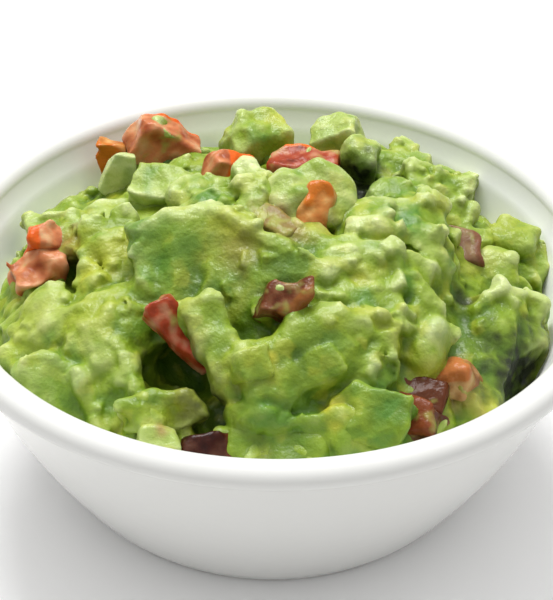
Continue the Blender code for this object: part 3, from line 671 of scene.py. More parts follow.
def make_heap_field(pieces):
    """The whole heap as a field, trimmed to the inside of the bowl."""
    reach = FIELD_REACH
    heap = Field((-reach, -reach, FIELD_BOTTOM), (reach, reach, FIELD_TOP), STEP)
    x, y, z = heap.points
    heap.distance = ((z - mound_height(x, y)) * MOUND_STEEPNESS).astype(np.float32)
    heap.bend(0.55, 8.0, 11)
    heap.bend(0.35, 3.8, 21)
    lumps = middle_fold() + front_fold() + right_middle()
    lumps += left_side() + left_back() + back_side() + far_side() + right_side()
    for lump in lumps:
        heap.add(lump)
    for hollow in HOLLOWS:
        heap.add(hollow, carve=True)
    for lump in finger() + front_low():
        heap.add(lump)
    for edge in EDGES:
        heap.add_line(edge, 1.6)
    for crease in CREASES:
        heap.add_line(crease, 1.4, carve=True)
    scatter_lumps(heap)
    roughen(heap)
    for number, piece in enumerate(pieces):
        spread_round(heap, piece, number)
    x, y, z = grid_axes(heap)
    wall = np.hypot(x, y) - (inner_wall_radius(z) + INTO_WALL)
    heap.distance = np.maximum(heap.distance, WALL_STEEPNESS * wall.astype(np.float32))
    margin = 2.2 * STEP
    ends = np.maximum(heap.axes[2][0] + margin - z, z - (FIELD_TOP - margin))
    heap.distance = np.maximum(heap.distance, ends.astype(np.float32))
    return heap


def grid_axes(field):
    return [axis.reshape([-1 if i == j else 1 for j in range(3)])
            for i, axis in enumerate(field.axes)]


# How far the mash stays below a dice's faces, and how far it smears out over them
SINK = 0.5
SMEAR_DEPTH = 0.95
CLIMB = 1.3


def spread_round(heap, piece, number):
    """Lets the mash climb the sides of one dice and smear over parts of it."""
    reach = float(np.linalg.norm(piece.half)) + 3.0
    part = heap.near(piece.at, reach)
    points = np.stack(np.meshgrid(*(axis[s] for axis, s in zip(heap.axes, part)), indexing="ij"), -1)
    if points.size == 0:
        return
    points = points.reshape(-1, 3)
    shape = piece_distance(piece, points, number)
    smear = gradient_noise(points, 4.5, 300 + number) + piece.cover - 0.55
    shape += SINK - np.clip(2.6 * smear, 0, SMEAR_DEPTH)
    there = heap.distance[part]
    shape = shape.reshape(there.shape).astype(np.float32)
    heap.distance[part] = join(there, shape, CLIMB)


# Where the mash is smooth: x, y, z and radius
SMOOTH_ZONES = [
    (-12, -14, 54, 10), (-2, -18, 53, 7), (6, -36, 50, 10), (-11, -31, 50, 6), (29, -27, 46, 7),
    (-37, -33, 41, 9), (42, -18, 41, 9), (7, 6, 60, 8), (-18, -6, 59, 6), (-26, 14, 50, 6),
    (-35, 18, 46, 7), (-6, -33, 51, 5), (-5, 12, 57, 7), (-26, 20, 50, 6),
]


def smoothness(points):
    found = np.zeros(len(points), np.float32)
    for *at, radius in SMOOTH_ZONES:
        distance = np.linalg.norm(points - np.array(at, np.float32), axis=1) / radius
        found = np.maximum(found, np.clip(1.6 - 1.1 * distance, 0, 1))
    return found


# The size, depth and seed of the cells that the crushed flesh breaks into
CHIP_SIZES = ((5.0, 0.3, 56), (2.6, 0.24, 57))


def roughen(heap):
    """Crushed flesh: rounded swellings with creases between them, rougher in some places."""
    band = np.abs(heap.distance) < 2.6
    points = np.stack([axis[band] for axis in heap.points], 1)
    rough = np.clip(0.6 + 0.6 * gradient_noise(points, 14.0, 50), 0.2, 1.15)
    rough *= 1 - 0.45 * smoothness(points)
    swell = 0.0
    for scale, amount, seed in ((6.0, 0.42, 51), (3.2, 0.2, 52), (1.7, 0.08, 53)):
        stretched = points * (1.0, 1.0, 1.25)
        swell = swell + amount * (np.abs(gradient_noise(stretched, scale, seed)) - 0.28)
    soft = 0.35 * gradient_noise(points, 6.0, 55)
    fine = 0.08 * gradient_noise(points, 1.3, 54)
    places = np.meshgrid(*heap.axes, indexing="ij")
    straight = np.stack([axis[band] for axis in places], 1)
    chipped = sum(share * chips(straight, size, seed)[0] for size, share, seed in CHIP_SIZES)
    heap.distance[band] -= (rough * (swell + chipped) + soft + fine).astype(np.float32)


LOOSE_LUMPS = 520
LOOSE_REACH = 55.0


def scatter_lumps(heap):
    """Crushed bits, mostly sunk into the surface wherever it lies."""
    random = np.random.default_rng(8)
    x_axis, y_axis, z_axis = heap.axes
    surface = np.where(heap.distance < 0, z_axis, -1.0).max(axis=2)
    for number in range(LOOSE_LUMPS):
        radius = LOOSE_REACH * math.sqrt(random.uniform())
        angle = random.uniform(0.0, math.tau)
        x, y = radius * math.cos(angle), radius * math.sin(angle)
        size = 0.9 + 1.5 * random.uniform() ** 1.6
        half = size * random.uniform(0.7, 1.35, 3)
        turn = random.uniform(-180, 180, 3)
        sink = random.uniform(0.5, 0.95)
        blend = random.uniform(0.4, 1.1)
        top = surface[int((x - x_axis[0]) / STEP), int((y - y_axis[0]) / STEP)]
        place = np.array([[x, y, top]])
        if random.uniform() < 0.9 * smoothness(place)[0] or spread(place, CAVITY_SHADE_SPOTS, 0.0)[0] > 0.3:
            continue
        rounding = 0.3 * size if number % 3 else None
        heap.add(Lump((x, y, top - sink * size), tuple(half), tuple(turn), rounding, blend))


# ---- avocado and tomato

# Name, place, half sizes, turn, edge rounding, unevenness, share under mash, and paleness
AVOCADO_CHUNKS = [
    Piece("avocado_back_middle", (-4, 38.5, 48.4), (6.4, 5, 5.6), (25, 8, 0), 1.2, 1.4, 0.0, 0.8),
    Piece("avocado_back_right_a", (13.5, 41, 48.4), (5, 4, 4.5), (0, 8, -26), 0.9, 1.2, 0.1, 1.1),
    Piece("avocado_back_right_b", (17.5, 29.5, 48.9), (3.8, 4, 5.6), (-10, 10, 0), 1.4, 1.6, 0.0, 0.8),
    Piece("avocado_top", (6.7, 5.5, 54), (8.6, 7.6, 6.2), (5, 25, 10), 4.4, 2.0, 0.1, 0.6),
    Piece("avocado_back_left_a", (-22, 19.5, 46.8), (6.6, 4.6, 5.6), (-15, 18, 0), 0.7, 1.0, 0.0, 0.5),
    # Its paleness of 2.0 is partly painted light, making up for the shade it lies in
    Piece("avocado_back_left_b", (-32.4, 31, 44.8), (5, 1.4, 3.2), (10, 0, -75),
          0.3, 0.4, 0.0, 2.0, (0, 0, 1), -0.3),
    Piece("avocado_right_back", (36.6, 23.5, 42), (3.4, 4, 5.2), (-15, 10, 5), 1.2, 1.1, 0.0, 0.5),
    Piece("avocado_right_a", (44.3, 3.5, 39.6), (4.2, 4.5, 5), (-10, 20, 0), 2.4, 1.2, 0.1, 0.4),
    Piece("avocado_right_b", (48.6, 13.5, 40.6), (4.6, 4.5, 4.6), (-20, 10, 0), 2.4, 1.4, 0.0, 0.4),
    Piece("avocado_front_left_a", (-19.2, -46.6, 38.6), (3.3, 2.8, 3.4), (10, 30, 5), 0.7, 0.7, 0.0, 0.8),
    Piece("avocado_front_left_b", (-18.4, -40.2, 39.9), (7.2, 4, 3.6), (6, 38, 12), 1.8, 2.6, 0.3, 0.2),
    Piece("avocado_front_right", (17.4, -41, 39.4), (7.2, 5, 6), (-25, 35, 0), 0.7, 1.1, 0.1, -0.3),
    Piece("avocado_front", (2, -45.5, 36), (9.5, 4.2, 4), (0, 30, 0), 1.8, 1.2, 0.0, -0.4),
    Piece("avocado_fold", (-3.7, -37, 47.6), (3.3, 3, 3.8), (20, 35, 0), 0.9, 0.8, 0.1, 0.1),
]

# The last values are the colouring, the depth of skin along the piece's axes, and the taper
TOMATO_PIECES = [
    Piece("tomato_back_left_a", (-24.1, 38.5, 47.2), (6.6, 3.5, 5.2), (8, 5, 38),
          0.7, 1.3, 0.3, "pink", (0, 1, 0.4)),
    Piece("tomato_back_left_b", (-34.4, 38.5, 44.9), (2.9, 2.2, 3.5), (-20, 5, -16),
          0.6, 2.0, 0.25, "orange", (0, -1, 0), -0.3),
    Piece("tomato_back_left_c", (-8.6, 26, 48.8), (5.8, 2.8, 3.5), (8, 10, 24),
          0.5, 0.8, 0.1, "pink", (8, 0, 0)),
    Piece("tomato_back_middle", (6, 26, 49), (7.2, 4, 4.4), (-3, 8, 3),
          1.2, 1.1, 0.2, "red", (0, 0.8, 0)),
    Piece("tomato_top", (7.8, -0.6, 56.5), (3, 5.8, 2.4), (-28, 42, 24),
          1.4, 1.4, 0.0, "orange", (0, 0.6, 1.6)),
    Piece("tomato_sliver", (-1, -3, 56), (7.4, 2.6, 1.8), (-48, 14, 0), 0.8, 0.8, 0.7, "pale"),
    Piece("tomato_left_a", (-44.2, 4.4, 42.6), (4, 3.2, 6.4), (10, 20, 8),
          0.5, 2.4, 0.0, "pink", (-1.6, 0, 0)),
    Piece("tomato_left_b", (-45, -1, 41.2), (5.2, 3.6, 3.4), (10, 20, -8),
          0.6, 2.4, 0.0, "pink", (0, -0.3, -0.7)),
    Piece("tomato_middle", (0.6, -24, 50.8), (3.8, 3.4, 7), (0, 30, 22),
          0.4, 1.6, 0.3, "brown", (0, -0.6, 0.8), 0.3),
    Piece("tomato_front_left", (-15.6, -28, 47.3), (7.8, 2.3, 2.2), (-46, 14, 39),
          0.3, 1.0, 0.1, "red", (0, 0, -0.4), -0.5),
    Piece("tomato_right", (35.8, 6, 42.6), (5, 4, 4.6), (0, 20, 0), 0.6, 1.0, 0.0, "purple", (1, 0, 0.6)),
    Piece("tomato_front_right_a", (34, -29.2, 37.8), (3.8, 3.8, 5.6), (-20, 20, -25),
          0.8, 1.3, 0.2, "peach", (0.2, 0, 1)),
    # Near black: partly painted shade, as this piece lies under the right lobe
    Piece("tomato_front_right_b", (24.8, -33.2, 38.4), (6.8, 3.4, 3.4), (-14, 25, -4),
          0.5, 0.9, 0.05, "dark"),
    Piece("tomato_front_right_c", (25.8, -38.4, 36.2), (4.8, 3.4, 5.8), (-25, 30, -10),
          0.5, 1.4, 0.3, "maroon"),
    # Near black: partly painted shade
    Piece("tomato_front", (-10.8, -46.8, 36.5), (4.4, 3, 3.8), (5, 30, 5),
          0.6, 1.0, 0.0, "dark", (1, 0, 0)),
]


CUT_CORNERS = 5


def piece_distance(piece, points, number):
    """Distance to one dice: a box with rounded edges and cut corners, bent by noise."""
    offset = points - np.array(piece.at, np.float32)
    axes = turn_axes(piece.turn)
    shape = box_distance(*offset.T, piece.half, axes, piece.edge).astype(np.float32)
    close = np.abs(shape) < 2.6 + 1.2 * piece.wild
    near = points[close]
    bent = offset[close]
    shift = [gradient_noise(near, 5.5, 500 + 10 * number + i) for i in range(3)]
    bent = bent + piece.wild * np.stack(shift, 1)
    bent = bent @ axes
    swell = 1 + piece.taper * bent[:, :1] / piece.half[0]
    bent[:, 1:] /= np.clip(swell, 0.3, 2.0)
    bent = bent @ axes.T
    found = box_distance(*bent.T, piece.half, axes, piece.edge)
    random = np.random.default_rng(700 + number)
    half = np.array(piece.half)
    for _ in range(CUT_CORNERS):
        direction = random.choice([-1.0, 1.0], 3) * random.uniform(0.2, 1.0, 3)
        direction /= np.linalg.norm(direction)
        reach = (np.abs(direction) * half).sum() * random.uniform(0.7, 0.86)
        found = cut(found, reach - bent @ (axes @ direction), 0.5)
    found -= 0.2 * piece.wild * gradient_noise(near, 2.8, 800 + number)
    shape[close] = found - 0.1 * gradient_noise(near, 1.4, 900 + number)
    return shape


def make_piece_field(piece, number):
    """One dice on a grid of its own, trimmed to the inside of the bowl."""
    reach = float(np.linalg.norm(piece.half)) + 1.0 + piece.wild
    field = Field([c - reach for c in piece.at], [c + reach for c in piece.at], PIECE_STEP)
    points = np.stack([axis.ravel() for axis in field.points], 1)
    field.distance = piece_distance(piece, points, number).reshape(field.shape)
    x, y, z = grid_axes(field)
    wall = np.hypot(x, y) - (inner_wall_radius(np.minimum(z, PIECE_WALL_TOP)) - WALL_CLEARANCE)
    field.distance = np.maximum(field.distance, WALL_STEEPNESS * wall.astype(np.float32))
    return field


# ---- meshes from fields


def mesh_from(name, points, faces):
    """A mesh in metres from points in millimetres."""
    mesh = bpy.data.meshes.new(name)
    mesh.vertices.add(len(points))
    mesh.vertices.foreach_set("co", (points * MM).astype(np.float32).ravel())
    corners = faces.shape[1]
    mesh.loops.add(faces.size)
    mesh.loops.foreach_set("vertex_index", faces.astype(np.int32).ravel())
    mesh.polygons.add(len(faces))
    mesh.polygons.foreach_set("loop_start", np.arange(0, faces.size, corners, dtype=np.int32))
    mesh.polygons.foreach_set("loop_total", np.full(len(faces), corners, np.int32))
    mesh.update(calc_edges=True)
    mesh.validate()
    mesh.shade_smooth()
    return mesh


def largest_body(points, faces):
    """The surface without any small loose bodies beside the largest one."""
    body = np.arange(len(points))
    while True:
        lowest = np.repeat(body[faces].min(axis=1), faces.shape[1])
        joined = body.copy()
        np.minimum.at(joined, faces.ravel(), lowest)
        joined = joined[joined]
        if (joined == body).all():
            break
        body = joined
    kept = body == np.bincount(body).argmax()
    renumbered = np.cumsum(kept) - 1
    return points[kept], renumbered[faces[kept[faces[:, 0]]]]


def thinned(mesh, share):
    """The same mesh with its flatter parts in fewer, larger triangles."""
    holder = bpy.data.objects.new("holder", mesh)
    bpy.context.scene.collection.objects.link(holder)
    modifier = holder.modifiers.new("thin", "DECIMATE")
    modifier.ratio = share
    graph = bpy.context.evaluated_depsgraph_get()
    thin = bpy.data.meshes.new_from_object(holder.evaluated_get(graph))
    bpy.data.objects.remove(holder)
    thin.name = mesh.name + "_thin"
    return thin


def mesh_points(mesh):
    """The mesh's points in millimetres."""
    points = np.empty(3 * len(mesh.vertices), np.float32)
    mesh.vertices.foreach_get("co", points)
    return points.reshape(-1, 3) / MM


def add_object(name, mesh, finish):
    made = bpy.data.objects.new(name, mesh)
    bpy.context.scene.collection.objects.link(made)
    mesh.materials.append(finish)
    return made


def set_attribute(mesh, name, values):
    attribute = mesh.attributes.new(name, "FLOAT", "POINT")
    attribute.data.foreach_set("value", values.astype(np.float32))


# ---- what the surface is made of, and painted light and shade

# Spots of one kind on the heap: x, y, z, radius and strength
# Paler mash and painted light: many of these spots lie on tops facing the lamp and on a wet face, painted
# as lit and glossy
PALE_AND_LIT_SPOTS = [
    (-20, -4, 60, 6, 0.5), (-13, -5, 61, 5, 0.5), (-2, 2, 59, 7, 0.5), (-4, 9, 59, 6, 0.5),
    (-33, 14, 49, 8, 0.5), (22, 4, 57, 9, 0.45), (30, 22, 51, 9, 0.4), (-36, -31, 43, 9, 0.45),
    (-40, -18, 44, 7, 0.3), (13, -14, 58, 6, 0.35), (26, -11, 54, 7, 0.35), (29, -26, 49, 6, 0.5),
    (44, -8, 46, 7, 0.2), (7, -38, 47, 6, 0.2), (20, 0, 58, 8, 0.55), (17, -8, 57, 8, 0.4),
    (-5, 12, 58, 6, 0.6), (20, -18, 53, 8, 0.35), (7, 4, 61, 7, 0.3), (17, 12, 56, 7, 0.4),
    (-14, 10, 55, 7, 0.35), (44, 4, 46, 6, 0.3), (-24, -15, 52, 4, 0.3),
]
# Mostly painted shade on faces turned to the front, away from the lamp; a few spots are darker flesh
SHADED_AND_DARK_SPOTS = [
    (-12, -14, 54, 10, 0.12), (-2, -18, 53, 8, 0.12), (6, -35, 50, 11, 0.12), (42, -18, 41, 10, 0.14),
    (-16, -12, 56, 7, 0.08), (36, -24, 40, 8, 0.1), (-38, -36, 40, 10, 0.12), (21.5, -42, 41, 5, 0.3),
]
YELLOW_SPOTS = [
    (-31, -5, 49, 6, 0.55), (-34, -9, 47, 4.5, 0.6), (21, -6, 56, 3.2, 1.0),
    (10.8, -42, 43.8, 2.4, 1.0), (11.2, -44, 42, 2.4, 1.0), (-44, -17, 42, 9, 0.25),
    (0, -36.5, 50, 1.6, 1.0), (-32, -21, 48, 8, 0.3), (-8, -11, 58, 6, 0.5), (28, -31, 42.5, 5, 0.7),
    (-16, -24, 54, 4, 0.5), (-3, -37, 48, 5, 0.4), (2, 42, 54, 6, 0.7), (-36, 0, 48, 5, 0.4),
    (46, 15, 45, 6, 0.3), (-5, 5, 59, 4, 0.3), (-14, -41, 44, 6, 0.5), (15, 0, 58, 4, 0.4),
    (39, 3, 45, 6, 0.4),
]
GREEN_SPOTS = [
    (-25, -9, 56, 4.5, 0.8), (-21, -14, 54, 4.5, 0.9), (-17, -12, 56, 4.0, 0.6), (25, -2, 56, 4.6, 1.0),
    (22.5, -1, 57, 3, 0.7), (-13, 4, 57, 3.6, 0.9), (0.5, -42.5, 43, 5.5, 0.9), (4, -42, 42, 4, 0.8),
    (20.5, -43.5, 40, 5, 1.2), (21, -41, 43, 5.5, 1.2), (36, -10, 46, 3.2, 0.9), (33, -6, 50, 3, 0.7),
    (-36, 8, 49, 3.6, 0.6), (-23, -25, 50, 4, 0.6), (18, 24, 50, 5, 0.6), (-28, -38, 42, 4, 0.5),
    (-20, -8, 58, 3, 0.5), (26, 16, 50, 5, 0.5), (6, -15, 57, 5, 0.3), (-6, -17, 55, 8, 0.3),
    (10, 24, 52, 5, 0.4), (20, -35, 45, 4, 0.5), (45, -22, 39, 5, 0.4), (-38, -35, 40.5, 8, 0.35),
]
# Painted shade: spots in hollows, gaps and under overhangs, turned toward near black where shade falls
CAVITY_SHADE_SPOTS = [
    (22.5, -41.5, 40.5, 3, 0.35), (-14, -30, 42, 7.5, 1.0), (-11, -37, 39.5, 7, 0.9),
    (-37.3, -3, 43, 3.6, 1.0), (48.5, -23.5, 34, 11, 1.2), (16.6, 21, 47, 8, 1.1),
    (1.5, -24, 51, 4, 0.5), (-27, 27, 47, 3.5, 0.7), (35.5, -10, 43.5, 3, 0.8), (-5, -43, 37, 4, 0.8),
]
STAIN_SPOTS = [
    (0, -3, 59, 4, 0.6), (4, -9, 59.5, 4, 0.5), (-6, -14, 57, 5, 0.25), (-40, 2, 46, 4, 0.7),
    (-12, -32, 48.5, 3, 0.3), (35, -33, 40, 5, 0.4), (-18.5, -46, 41, 1.6, 0.9), (10, -4, 58.5, 4, 0.4),
]


def spread(points, spots, uneven):
    """How much of one kind of spot there is at each point, with uneven outlines."""
    found = np.zeros(len(points))
    for *at, radius, strength in spots:
        distance = np.linalg.norm(points - np.array(at, float), axis=1) / radius
        found = np.maximum(found, strength * np.clip(1.35 - distance + uneven, 0, 1) ** 1.2)
    return found


def set_mash_attributes(mesh, points, raised, lift):
    """Works out at every point how pale, yellow, green or stained the mash is, with painted shade in
    hollows, creases and front faces and painted light on raised parts and tops.
    """
    uneven = 0.45 * gradient_noise(points, 3.2, 60) + 0.3 * gradient_noise(points, 1.5, 61)
    clouds = 0.16 * gradient_noise(points, 11.0, 41) + 0.13 * gradient_noise(points, 4.0, 42)
    grain = 0.05 * gradient_noise(points, 1.6, 43)
    large, small = (chips(points, size, seed)[1] for size, _, seed in CHIP_SIZES)
    # Raised parts are painted paler and creases darker: painted light and painted shade
    shade = 0.42 + lift + clouds + grain + np.clip(1.15 * raised, -0.4, 0.4)
    shade += 0.05 * large + 0.035 * small
    shade += 0.5 * spread(points, PALE_AND_LIT_SPOTS, uneven) - spread(points, SHADED_AND_DARK_SPOTS, uneven)
    set_attribute(mesh, "shade", np.clip(shade, 0, 1))
    loose_yellow = np.clip(0.9 * gradient_noise(points, 8.0, 44) - 0.25, 0, 0.6)
    loose_yellow += np.clip(0.9 * (small - 0.5), 0, 0.3)
    loose_green = np.clip(1.6 * gradient_noise(points, 5.0, 45) - 0.75, 0, 0.8)
    loose_green += np.clip(1.0 * (-large - 0.55), 0, 0.3)
    set_attribute(mesh, "yellow", np.maximum(spread(points, YELLOW_SPOTS, uneven), loose_yellow))
    set_attribute(mesh, "green", np.maximum(spread(points, GREEN_SPOTS, -uneven), loose_green))
    set_attribute(mesh, "deep", spread(points, CAVITY_SHADE_SPOTS, uneven))
    set_attribute(mesh, "stain", spread(points, STAIN_SPOTS, -uneven))


def set_tomato_attributes(mesh, piece, points, raised, number):
    """Skin on one side of the piece; flesh with streaks on the others, painted paler at its raised edges
    and darker in its creases as painted light and shade.
    """
    axes = turn_axes(piece.turn)
    placed = (points - np.array(piece.at)) @ axes
    direction = np.array(piece.skin, float)
    thickness = np.linalg.norm(direction)
    direction /= thickness
    depth = (np.abs(direction) * np.array(piece.half)).sum() - placed @ direction
    skin = np.clip(3 * (thickness - depth) + 0.9 + 0.7 * gradient_noise(points, 2.0, 70), 0, 1)
    set_attribute(mesh, "skin", skin)
    streaks = gradient_noise(placed * (1.0, 1.0, 0.35), 1.5, 71 + number)
    clouds = gradient_noise(points, 3.6, 90 + number)
    # Raised edges paler and creases darker: painted light and painted shade
    tone = 0.5 + 0.3 * streaks + 0.45 * clouds + 0.5 * np.clip(raised, -0.4, 0.6)
    set_attribute(mesh, "tone", np.clip(tone, 0, 1))
    film = 1.3 * gradient_noise(points, 2.8, 110 + number) + 0.5 * gradient_noise(points, 1.2, 112)
    set_attribute(mesh, "film", np.clip(film + 1.2 * piece.cover - 0.75, 0, 0.75))


# ---- materials


def set_inputs(target, values):
    for name, value in values.items():
        target.inputs[name].default_value = value


def node(tree, kind, inputs=None, **settings):
    made = tree.nodes.new(kind)
    set_inputs(made, inputs or {})
    for name, value in settings.items():
        setattr(made, name, value)
    return made


def principled(name, inputs):
    finish = bpy.data.materials.new(name)
    finish.use_nodes = True
    shader = finish.node_tree.nodes["Principled BSDF"]
    set_inputs(shader, inputs)
    return finish, finish.node_tree, shader


def ramp_of(tree, source, stops):
    """A colour ramp through (place, colour) stops."""
    ramp = node(tree, "ShaderNodeValToRGB")
    elements = ramp.color_ramp.elements
    elements[0].position, elements[0].color = stops[0][0], stops[0][1] + (1,)
    elements[1].position, elements[1].color = stops[-1][0], stops[-1][1] + (1,)
    for place, colour in stops[1:-1]:
        elements.new(place).color = colour + (1,)
    tree.links.new(source, ramp.inputs["Fac"])
    return ramp.outputs["Color"]


# One white glaze, painted two ways: lighter inside as painted light, darker outside as painted shade
GLAZE_OUTSIDE_SHADED = (0.69, 0.69, 0.665)
GLAZE_INSIDE_LIT = (0.92, 0.92, 0.94)
GLAZE_FINISH = {"Roughness": 0.22, "IOR": 1.5}


def set_inner_attribute(mesh):
    """1 on the inside of the bowl and 0 outside, with a soft change over the lip; it marks where the
    glaze is painted lighter, as painted light.
    """
    points = mesh_points(mesh)
    radius, height = np.hypot(points[:, 0], points[:, 1]), points[:, 2]
    middle = np.minimum(outer_wall_radius(height) - 2.0, RIM_RADIUS - 6.2)
    inner = np.clip((middle - radius) / 2.0 + 0.5, 0, 1) * (height > 3.0)
    set_attribute(mesh, "inner", inner)


def glaze_material():
    finish, tree, shader = principled("white_glaze", GLAZE_FINISH)
    inner = node(tree, "ShaderNodeAttribute", attribute_name="inner")
    colour = ramp_of(tree, inner.outputs["Fac"], [(0.0, GLAZE_OUTSIDE_SHADED), (1.0, GLAZE_INSIDE_LIT)])
    tree.links.new(colour, shader.inputs["Base Color"])
    add_bump(tree, shader, 460.0, 0.00002)
    return finish


def tinted(tree, base, attribute, colour):
    """The base colour turned toward another where an attribute says so."""
    amount = node(tree, "ShaderNodeAttribute", attribute_name=attribute)
    mix = node(tree, "ShaderNodeMix", data_type="RGBA")
    tree.links.new(amount.outputs["Fac"], mix.inputs["Factor"])
    tree.links.new(base, mix.inputs["A"])
    mix.inputs["B"].default_value = colour + (1,)
    return mix.outputs["Result"]


def add_bump(tree, shader, scale, height):
    """Small bumps, finer than the mesh."""
    noise = node(tree, "ShaderNodeTexNoise", {"Scale": scale, "Detail": 3.0})
    place = node(tree, "ShaderNodeTexCoord")
    tree.links.new(place.outputs["Object"], noise.inputs["Vector"])
    bump = node(tree, "ShaderNodeBump", {"Strength": 1.0, "Distance": height})
    tree.links.new(noise.outputs["Fac"], bump.inputs["Height"])
    for socket in ("Normal", "Coat Normal"):
        tree.links.new(bump.outputs["Normal"], shader.inputs[socket])


MASH_COLOURS = [
    (0.0, (0.040, 0.095, 0.003)),
    (0.28, (0.105, 0.180, 0.006)),
    (0.5, (0.190, 0.280, 0.016)),
    (0.72, (0.310, 0.390, 0.095)),
    (1.0, (0.490, 0.550, 0.250)),
]
YELLOW = (0.400, 0.400, 0.035)
GREEN = (0.080, 0.190, 0.018)
CAVITY_SHADE = (0.012, 0.018, 0.004)
# Near black, the painted shade of the hollows
STAIN = (0.300, 0.130, 0.050)
FILM = (0.270, 0.290, 0.060)


MASH_FINISH = {
    "Roughness": 0.5,
    "IOR": 1.42,
    "Specular IOR Level": 0.3,
    "Coat Weight": 0.22,
    "Coat Roughness": 0.07,
    "Coat IOR": 1.4,
    "Subsurface Weight": 0.25,
    "Subsurface Radius": (1.0, 1.2, 0.4),
    "Subsurface Scale": 0.0012,
}


def mash_material():
    finish, tree, shader = principled("mash", MASH_FINISH)
    shade = node(tree, "ShaderNodeAttribute", attribute_name="shade")
    colour = ramp_of(tree, shade.outputs["Fac"], MASH_COLOURS)
    for attribute, tint in (("yellow", YELLOW), ("green", GREEN), ("stain", STAIN), ("deep", CAVITY_SHADE)):
        colour = tinted(tree, colour, attribute, tint)
    tree.links.new(colour, shader.inputs["Base Color"])
    add_bump(tree, shader, 900.0, 0.0003)
    return finish


# Colours of skin, dark flesh, flesh and pale flesh; the dark flesh is also painted shade in creases, and
# the darkest colouring, near black, is partly painted shade on pieces that lie in shadow
TOMATO_COLOURS = {
    "pink": ((0.60, 0.10, 0.010), (0.26, 0.055, 0.016), (0.47, 0.165, 0.066), (0.62, 0.38, 0.20)),
    "orange": ((0.46, 0.13, 0.012), (0.32, 0.09, 0.013), (0.46, 0.19, 0.045), (0.58, 0.36, 0.13)),
    "red": ((0.58, 0.12, 0.008), (0.12, 0.012, 0.003), (0.29, 0.042, 0.012), (0.50, 0.27, 0.15)),
    "brown": ((0.22, 0.08, 0.018), (0.040, 0.008, 0.002), (0.11, 0.028, 0.008), (0.28, 0.14, 0.06)),
    "dark": ((0.08, 0.02, 0.005), (0.010, 0.002, 0.001), (0.030, 0.005, 0.002), (0.09, 0.035, 0.018)),
    "maroon": ((0.16, 0.04, 0.012), (0.025, 0.005, 0.002), (0.075, 0.020, 0.009), (0.24, 0.13, 0.08)),
    "purple": ((0.17, 0.07, 0.034), (0.11, 0.045, 0.022), (0.17, 0.090, 0.044), (0.27, 0.19, 0.09)),
    "peach": ((0.38, 0.13, 0.035), (0.16, 0.055, 0.016), (0.30, 0.135, 0.045), (0.44, 0.28, 0.11)),
    "pale": ((0.20, 0.14, 0.038), (0.13, 0.08, 0.016), (0.19, 0.125, 0.034), (0.28, 0.22, 0.08)),
}


TOMATO_FINISH = {
    "Roughness": 0.35,
    "IOR": 1.33,
    "Specular IOR Level": 0.15,
    "Coat Weight": 0.3,
    "Coat Roughness": 0.06,
    "Coat IOR": 1.33,
    "Subsurface Weight": 0.2,
    "Subsurface Radius": (1.5, 0.5, 0.3),
    "Subsurface Scale": 0.001,
}


def tomato_material(name):
    skin, dark, flesh, pale = TOMATO_COLOURS[name]
    finish, tree, shader = principled("tomato_" + name, TOMATO_FINISH)
    tone = node(tree, "ShaderNodeAttribute", attribute_name="tone")
    colour = ramp_of(tree, tone.outputs["Fac"], [(0.1, dark), (0.5, flesh), (1.0, pale)])
    colour = tinted(tree, colour, "skin", skin)
    colour = tinted(tree, colour, "film", FILM)
    tree.links.new(colour, shader.inputs["Base Color"])
    add_bump(tree, shader, 900.0, 0.0002)
    return finish


# ---- stage


FLOOR_REACH = 3.0
FLOOR_FINISH = {"Base Color": (0.95, 0.947, 0.945, 1), "Roughness": 0.6}
# How bright the sky is, from low down to overhead
SKY = {"From Min": 0.2, "From Max": 1.0, "To Min": 0.19, "To Max": 1.3}
LAMP_PLACE = (-0.08, 0.36, 0.72)
LAMP_TARGET = (0, 0, 0.04)


def make_floor():
    sides = (-FLOOR_REACH, FLOOR_REACH)
    mesh = bpy.data.meshes.new("floor")
    mesh.from_pydata([(x, y, 0) for x in sides for y in sides], [], [(0, 2, 3, 1)])
    finish, _, _ = principled("pale_floor", FLOOR_FINISH)
    add_object("floor", mesh, finish)


def make_sky():
    world = bpy.data.worlds.new("studio")
    world.use_nodes = True
    tree = world.node_tree
    direction = node(tree, "ShaderNodeTexCoord")
    parts = node(tree, "ShaderNodeSeparateXYZ")
    glow = node(tree, "ShaderNodeMapRange", SKY)
    background = tree.nodes["Background"]
    background.inputs["Color"].default_value = (1.0, 1.0, 1.0, 1)
    tree.links.new(direction.outputs["Generated"], parts.inputs["Vector"])
    tree.links.new(parts.outputs["Z"], glow.inputs["Value"])
    tree.links.new(glow.outputs["Result"], background.inputs["Strength"])
    bpy.context.scene.world = world


def make_lamp():
    """A soft round light, high behind the bowl."""
    light = bpy.data.lights.new("key", "AREA")
    light.shape = "DISK"
    light.size = 0.5
    light.energy = 8.0
    lamp = bpy.data.objects.new("key", light)
    bpy.context.scene.collection.objects.link(lamp)
    lamp.location = LAMP_PLACE
    toward = Vector(LAMP_TARGET) - lamp.location
    lamp.rotation_euler = toward.to_track_quat("-Z", "Y").to_euler()


CAMERA_ELEVATION = 36.09
CAMERA_DISTANCE = 299.01
CAMERA_ROLL = 0.97
CAMERA_TARGET = (0.84, 0.0, 35.56)
CAMERA_LENS = 91.09


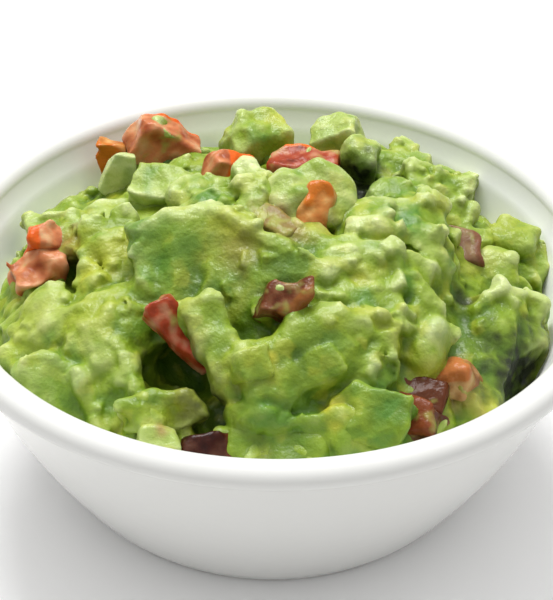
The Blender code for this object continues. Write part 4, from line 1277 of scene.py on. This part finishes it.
def make_camera():
    """The photograph's angle: from the front, looking down into the bowl."""
    data = bpy.data.cameras.new("camera")
    data.sensor_fit = "VERTICAL"
    data.sensor_height = 36.0
    data.lens = CAMERA_LENS
    data.clip_start = 0.01
    camera = bpy.data.objects.new("camera", data)
    bpy.context.scene.collection.objects.link(camera)
    turned = Matrix.Rotation(math.radians(90 - CAMERA_ELEVATION), 4, "X")
    turned = turned @ Matrix.Rotation(math.radians(CAMERA_ROLL), 4, "Z")
    back_off = Matrix.Translation((0, 0, CAMERA_DISTANCE * MM))
    camera.matrix_world = Matrix.Translation(Vector(CAMERA_TARGET) * MM) @ turned @ back_off
    bpy.context.scene.camera = camera


# ---- the whole

# How wide the boxes are over which the field is averaged, to tell what stands out; what stands out is
# painted paler and what lies in a crease darker, as painted light and shade
BROAD = 3.5
NARROW = 1.6


def add_piece(name, mesh, finish, replaced):
    """A piece of the visual model, in place of one node of the CAD."""
    piece = add_object(name, mesh, finish)
    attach(piece, "root")
    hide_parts(replaced)


def add_bowl():
    mesh = turned_mesh("bowl_glazed", bowl_profile(), BOWL_SEGMENTS)
    mesh.shade_smooth()
    set_inner_attribute(mesh)
    add_piece("bowl_glazed", mesh, glaze_material(), "bowl")


def add_heap(finish):
    heap = make_heap_field(AVOCADO_CHUNKS + TOMATO_PIECES)
    points, faces = largest_body(*heap.surface())
    mesh = mesh_from("mash_heap", points, faces)
    if len(faces) > HEAP_FACES:
        mesh = thinned(mesh, HEAP_FACES / len(faces))
    points = mesh_points(mesh)
    raised = 0.16 * heap.averaged(BROAD).at(points) + 0.25 * heap.averaged(NARROW).at(points)
    set_mash_attributes(mesh, points, raised, 0.0)
    add_piece("mash_heap", mesh, finish, "guacamole")


def add_dice(row, number, mash, tomato):
    """One dice of avocado or tomato, in a mesh of its own."""
    field = make_piece_field(row, number)
    points, faces = field.surface()
    raised = 0.25 * field.averaged(NARROW).at(points)
    mesh = mesh_from(row.name + "_piece", points, faces)
    slot = row.name.split("_")[0]
    if slot == "avocado":
        set_mash_attributes(mesh, points, raised, 0.25 * row.tint)
        finish = mash
    else:
        set_tomato_attributes(mesh, row, points, raised, number)
        finish = tomato[row.tint]
    add_piece(row.name + "_piece", mesh, finish, row.name)


def main():
    add_bowl()
    mash = mash_material()
    tomato = {name: tomato_material(name) for name in TOMATO_COLOURS}
    add_heap(mash)
    for number, row in enumerate(AVOCADO_CHUNKS + TOMATO_PIECES):
        add_dice(row, number, mash, tomato)
    make_floor()
    make_sky()
    make_lamp()
    make_camera()
    bpy.context.scene.view_settings.view_transform = "Standard"


main()
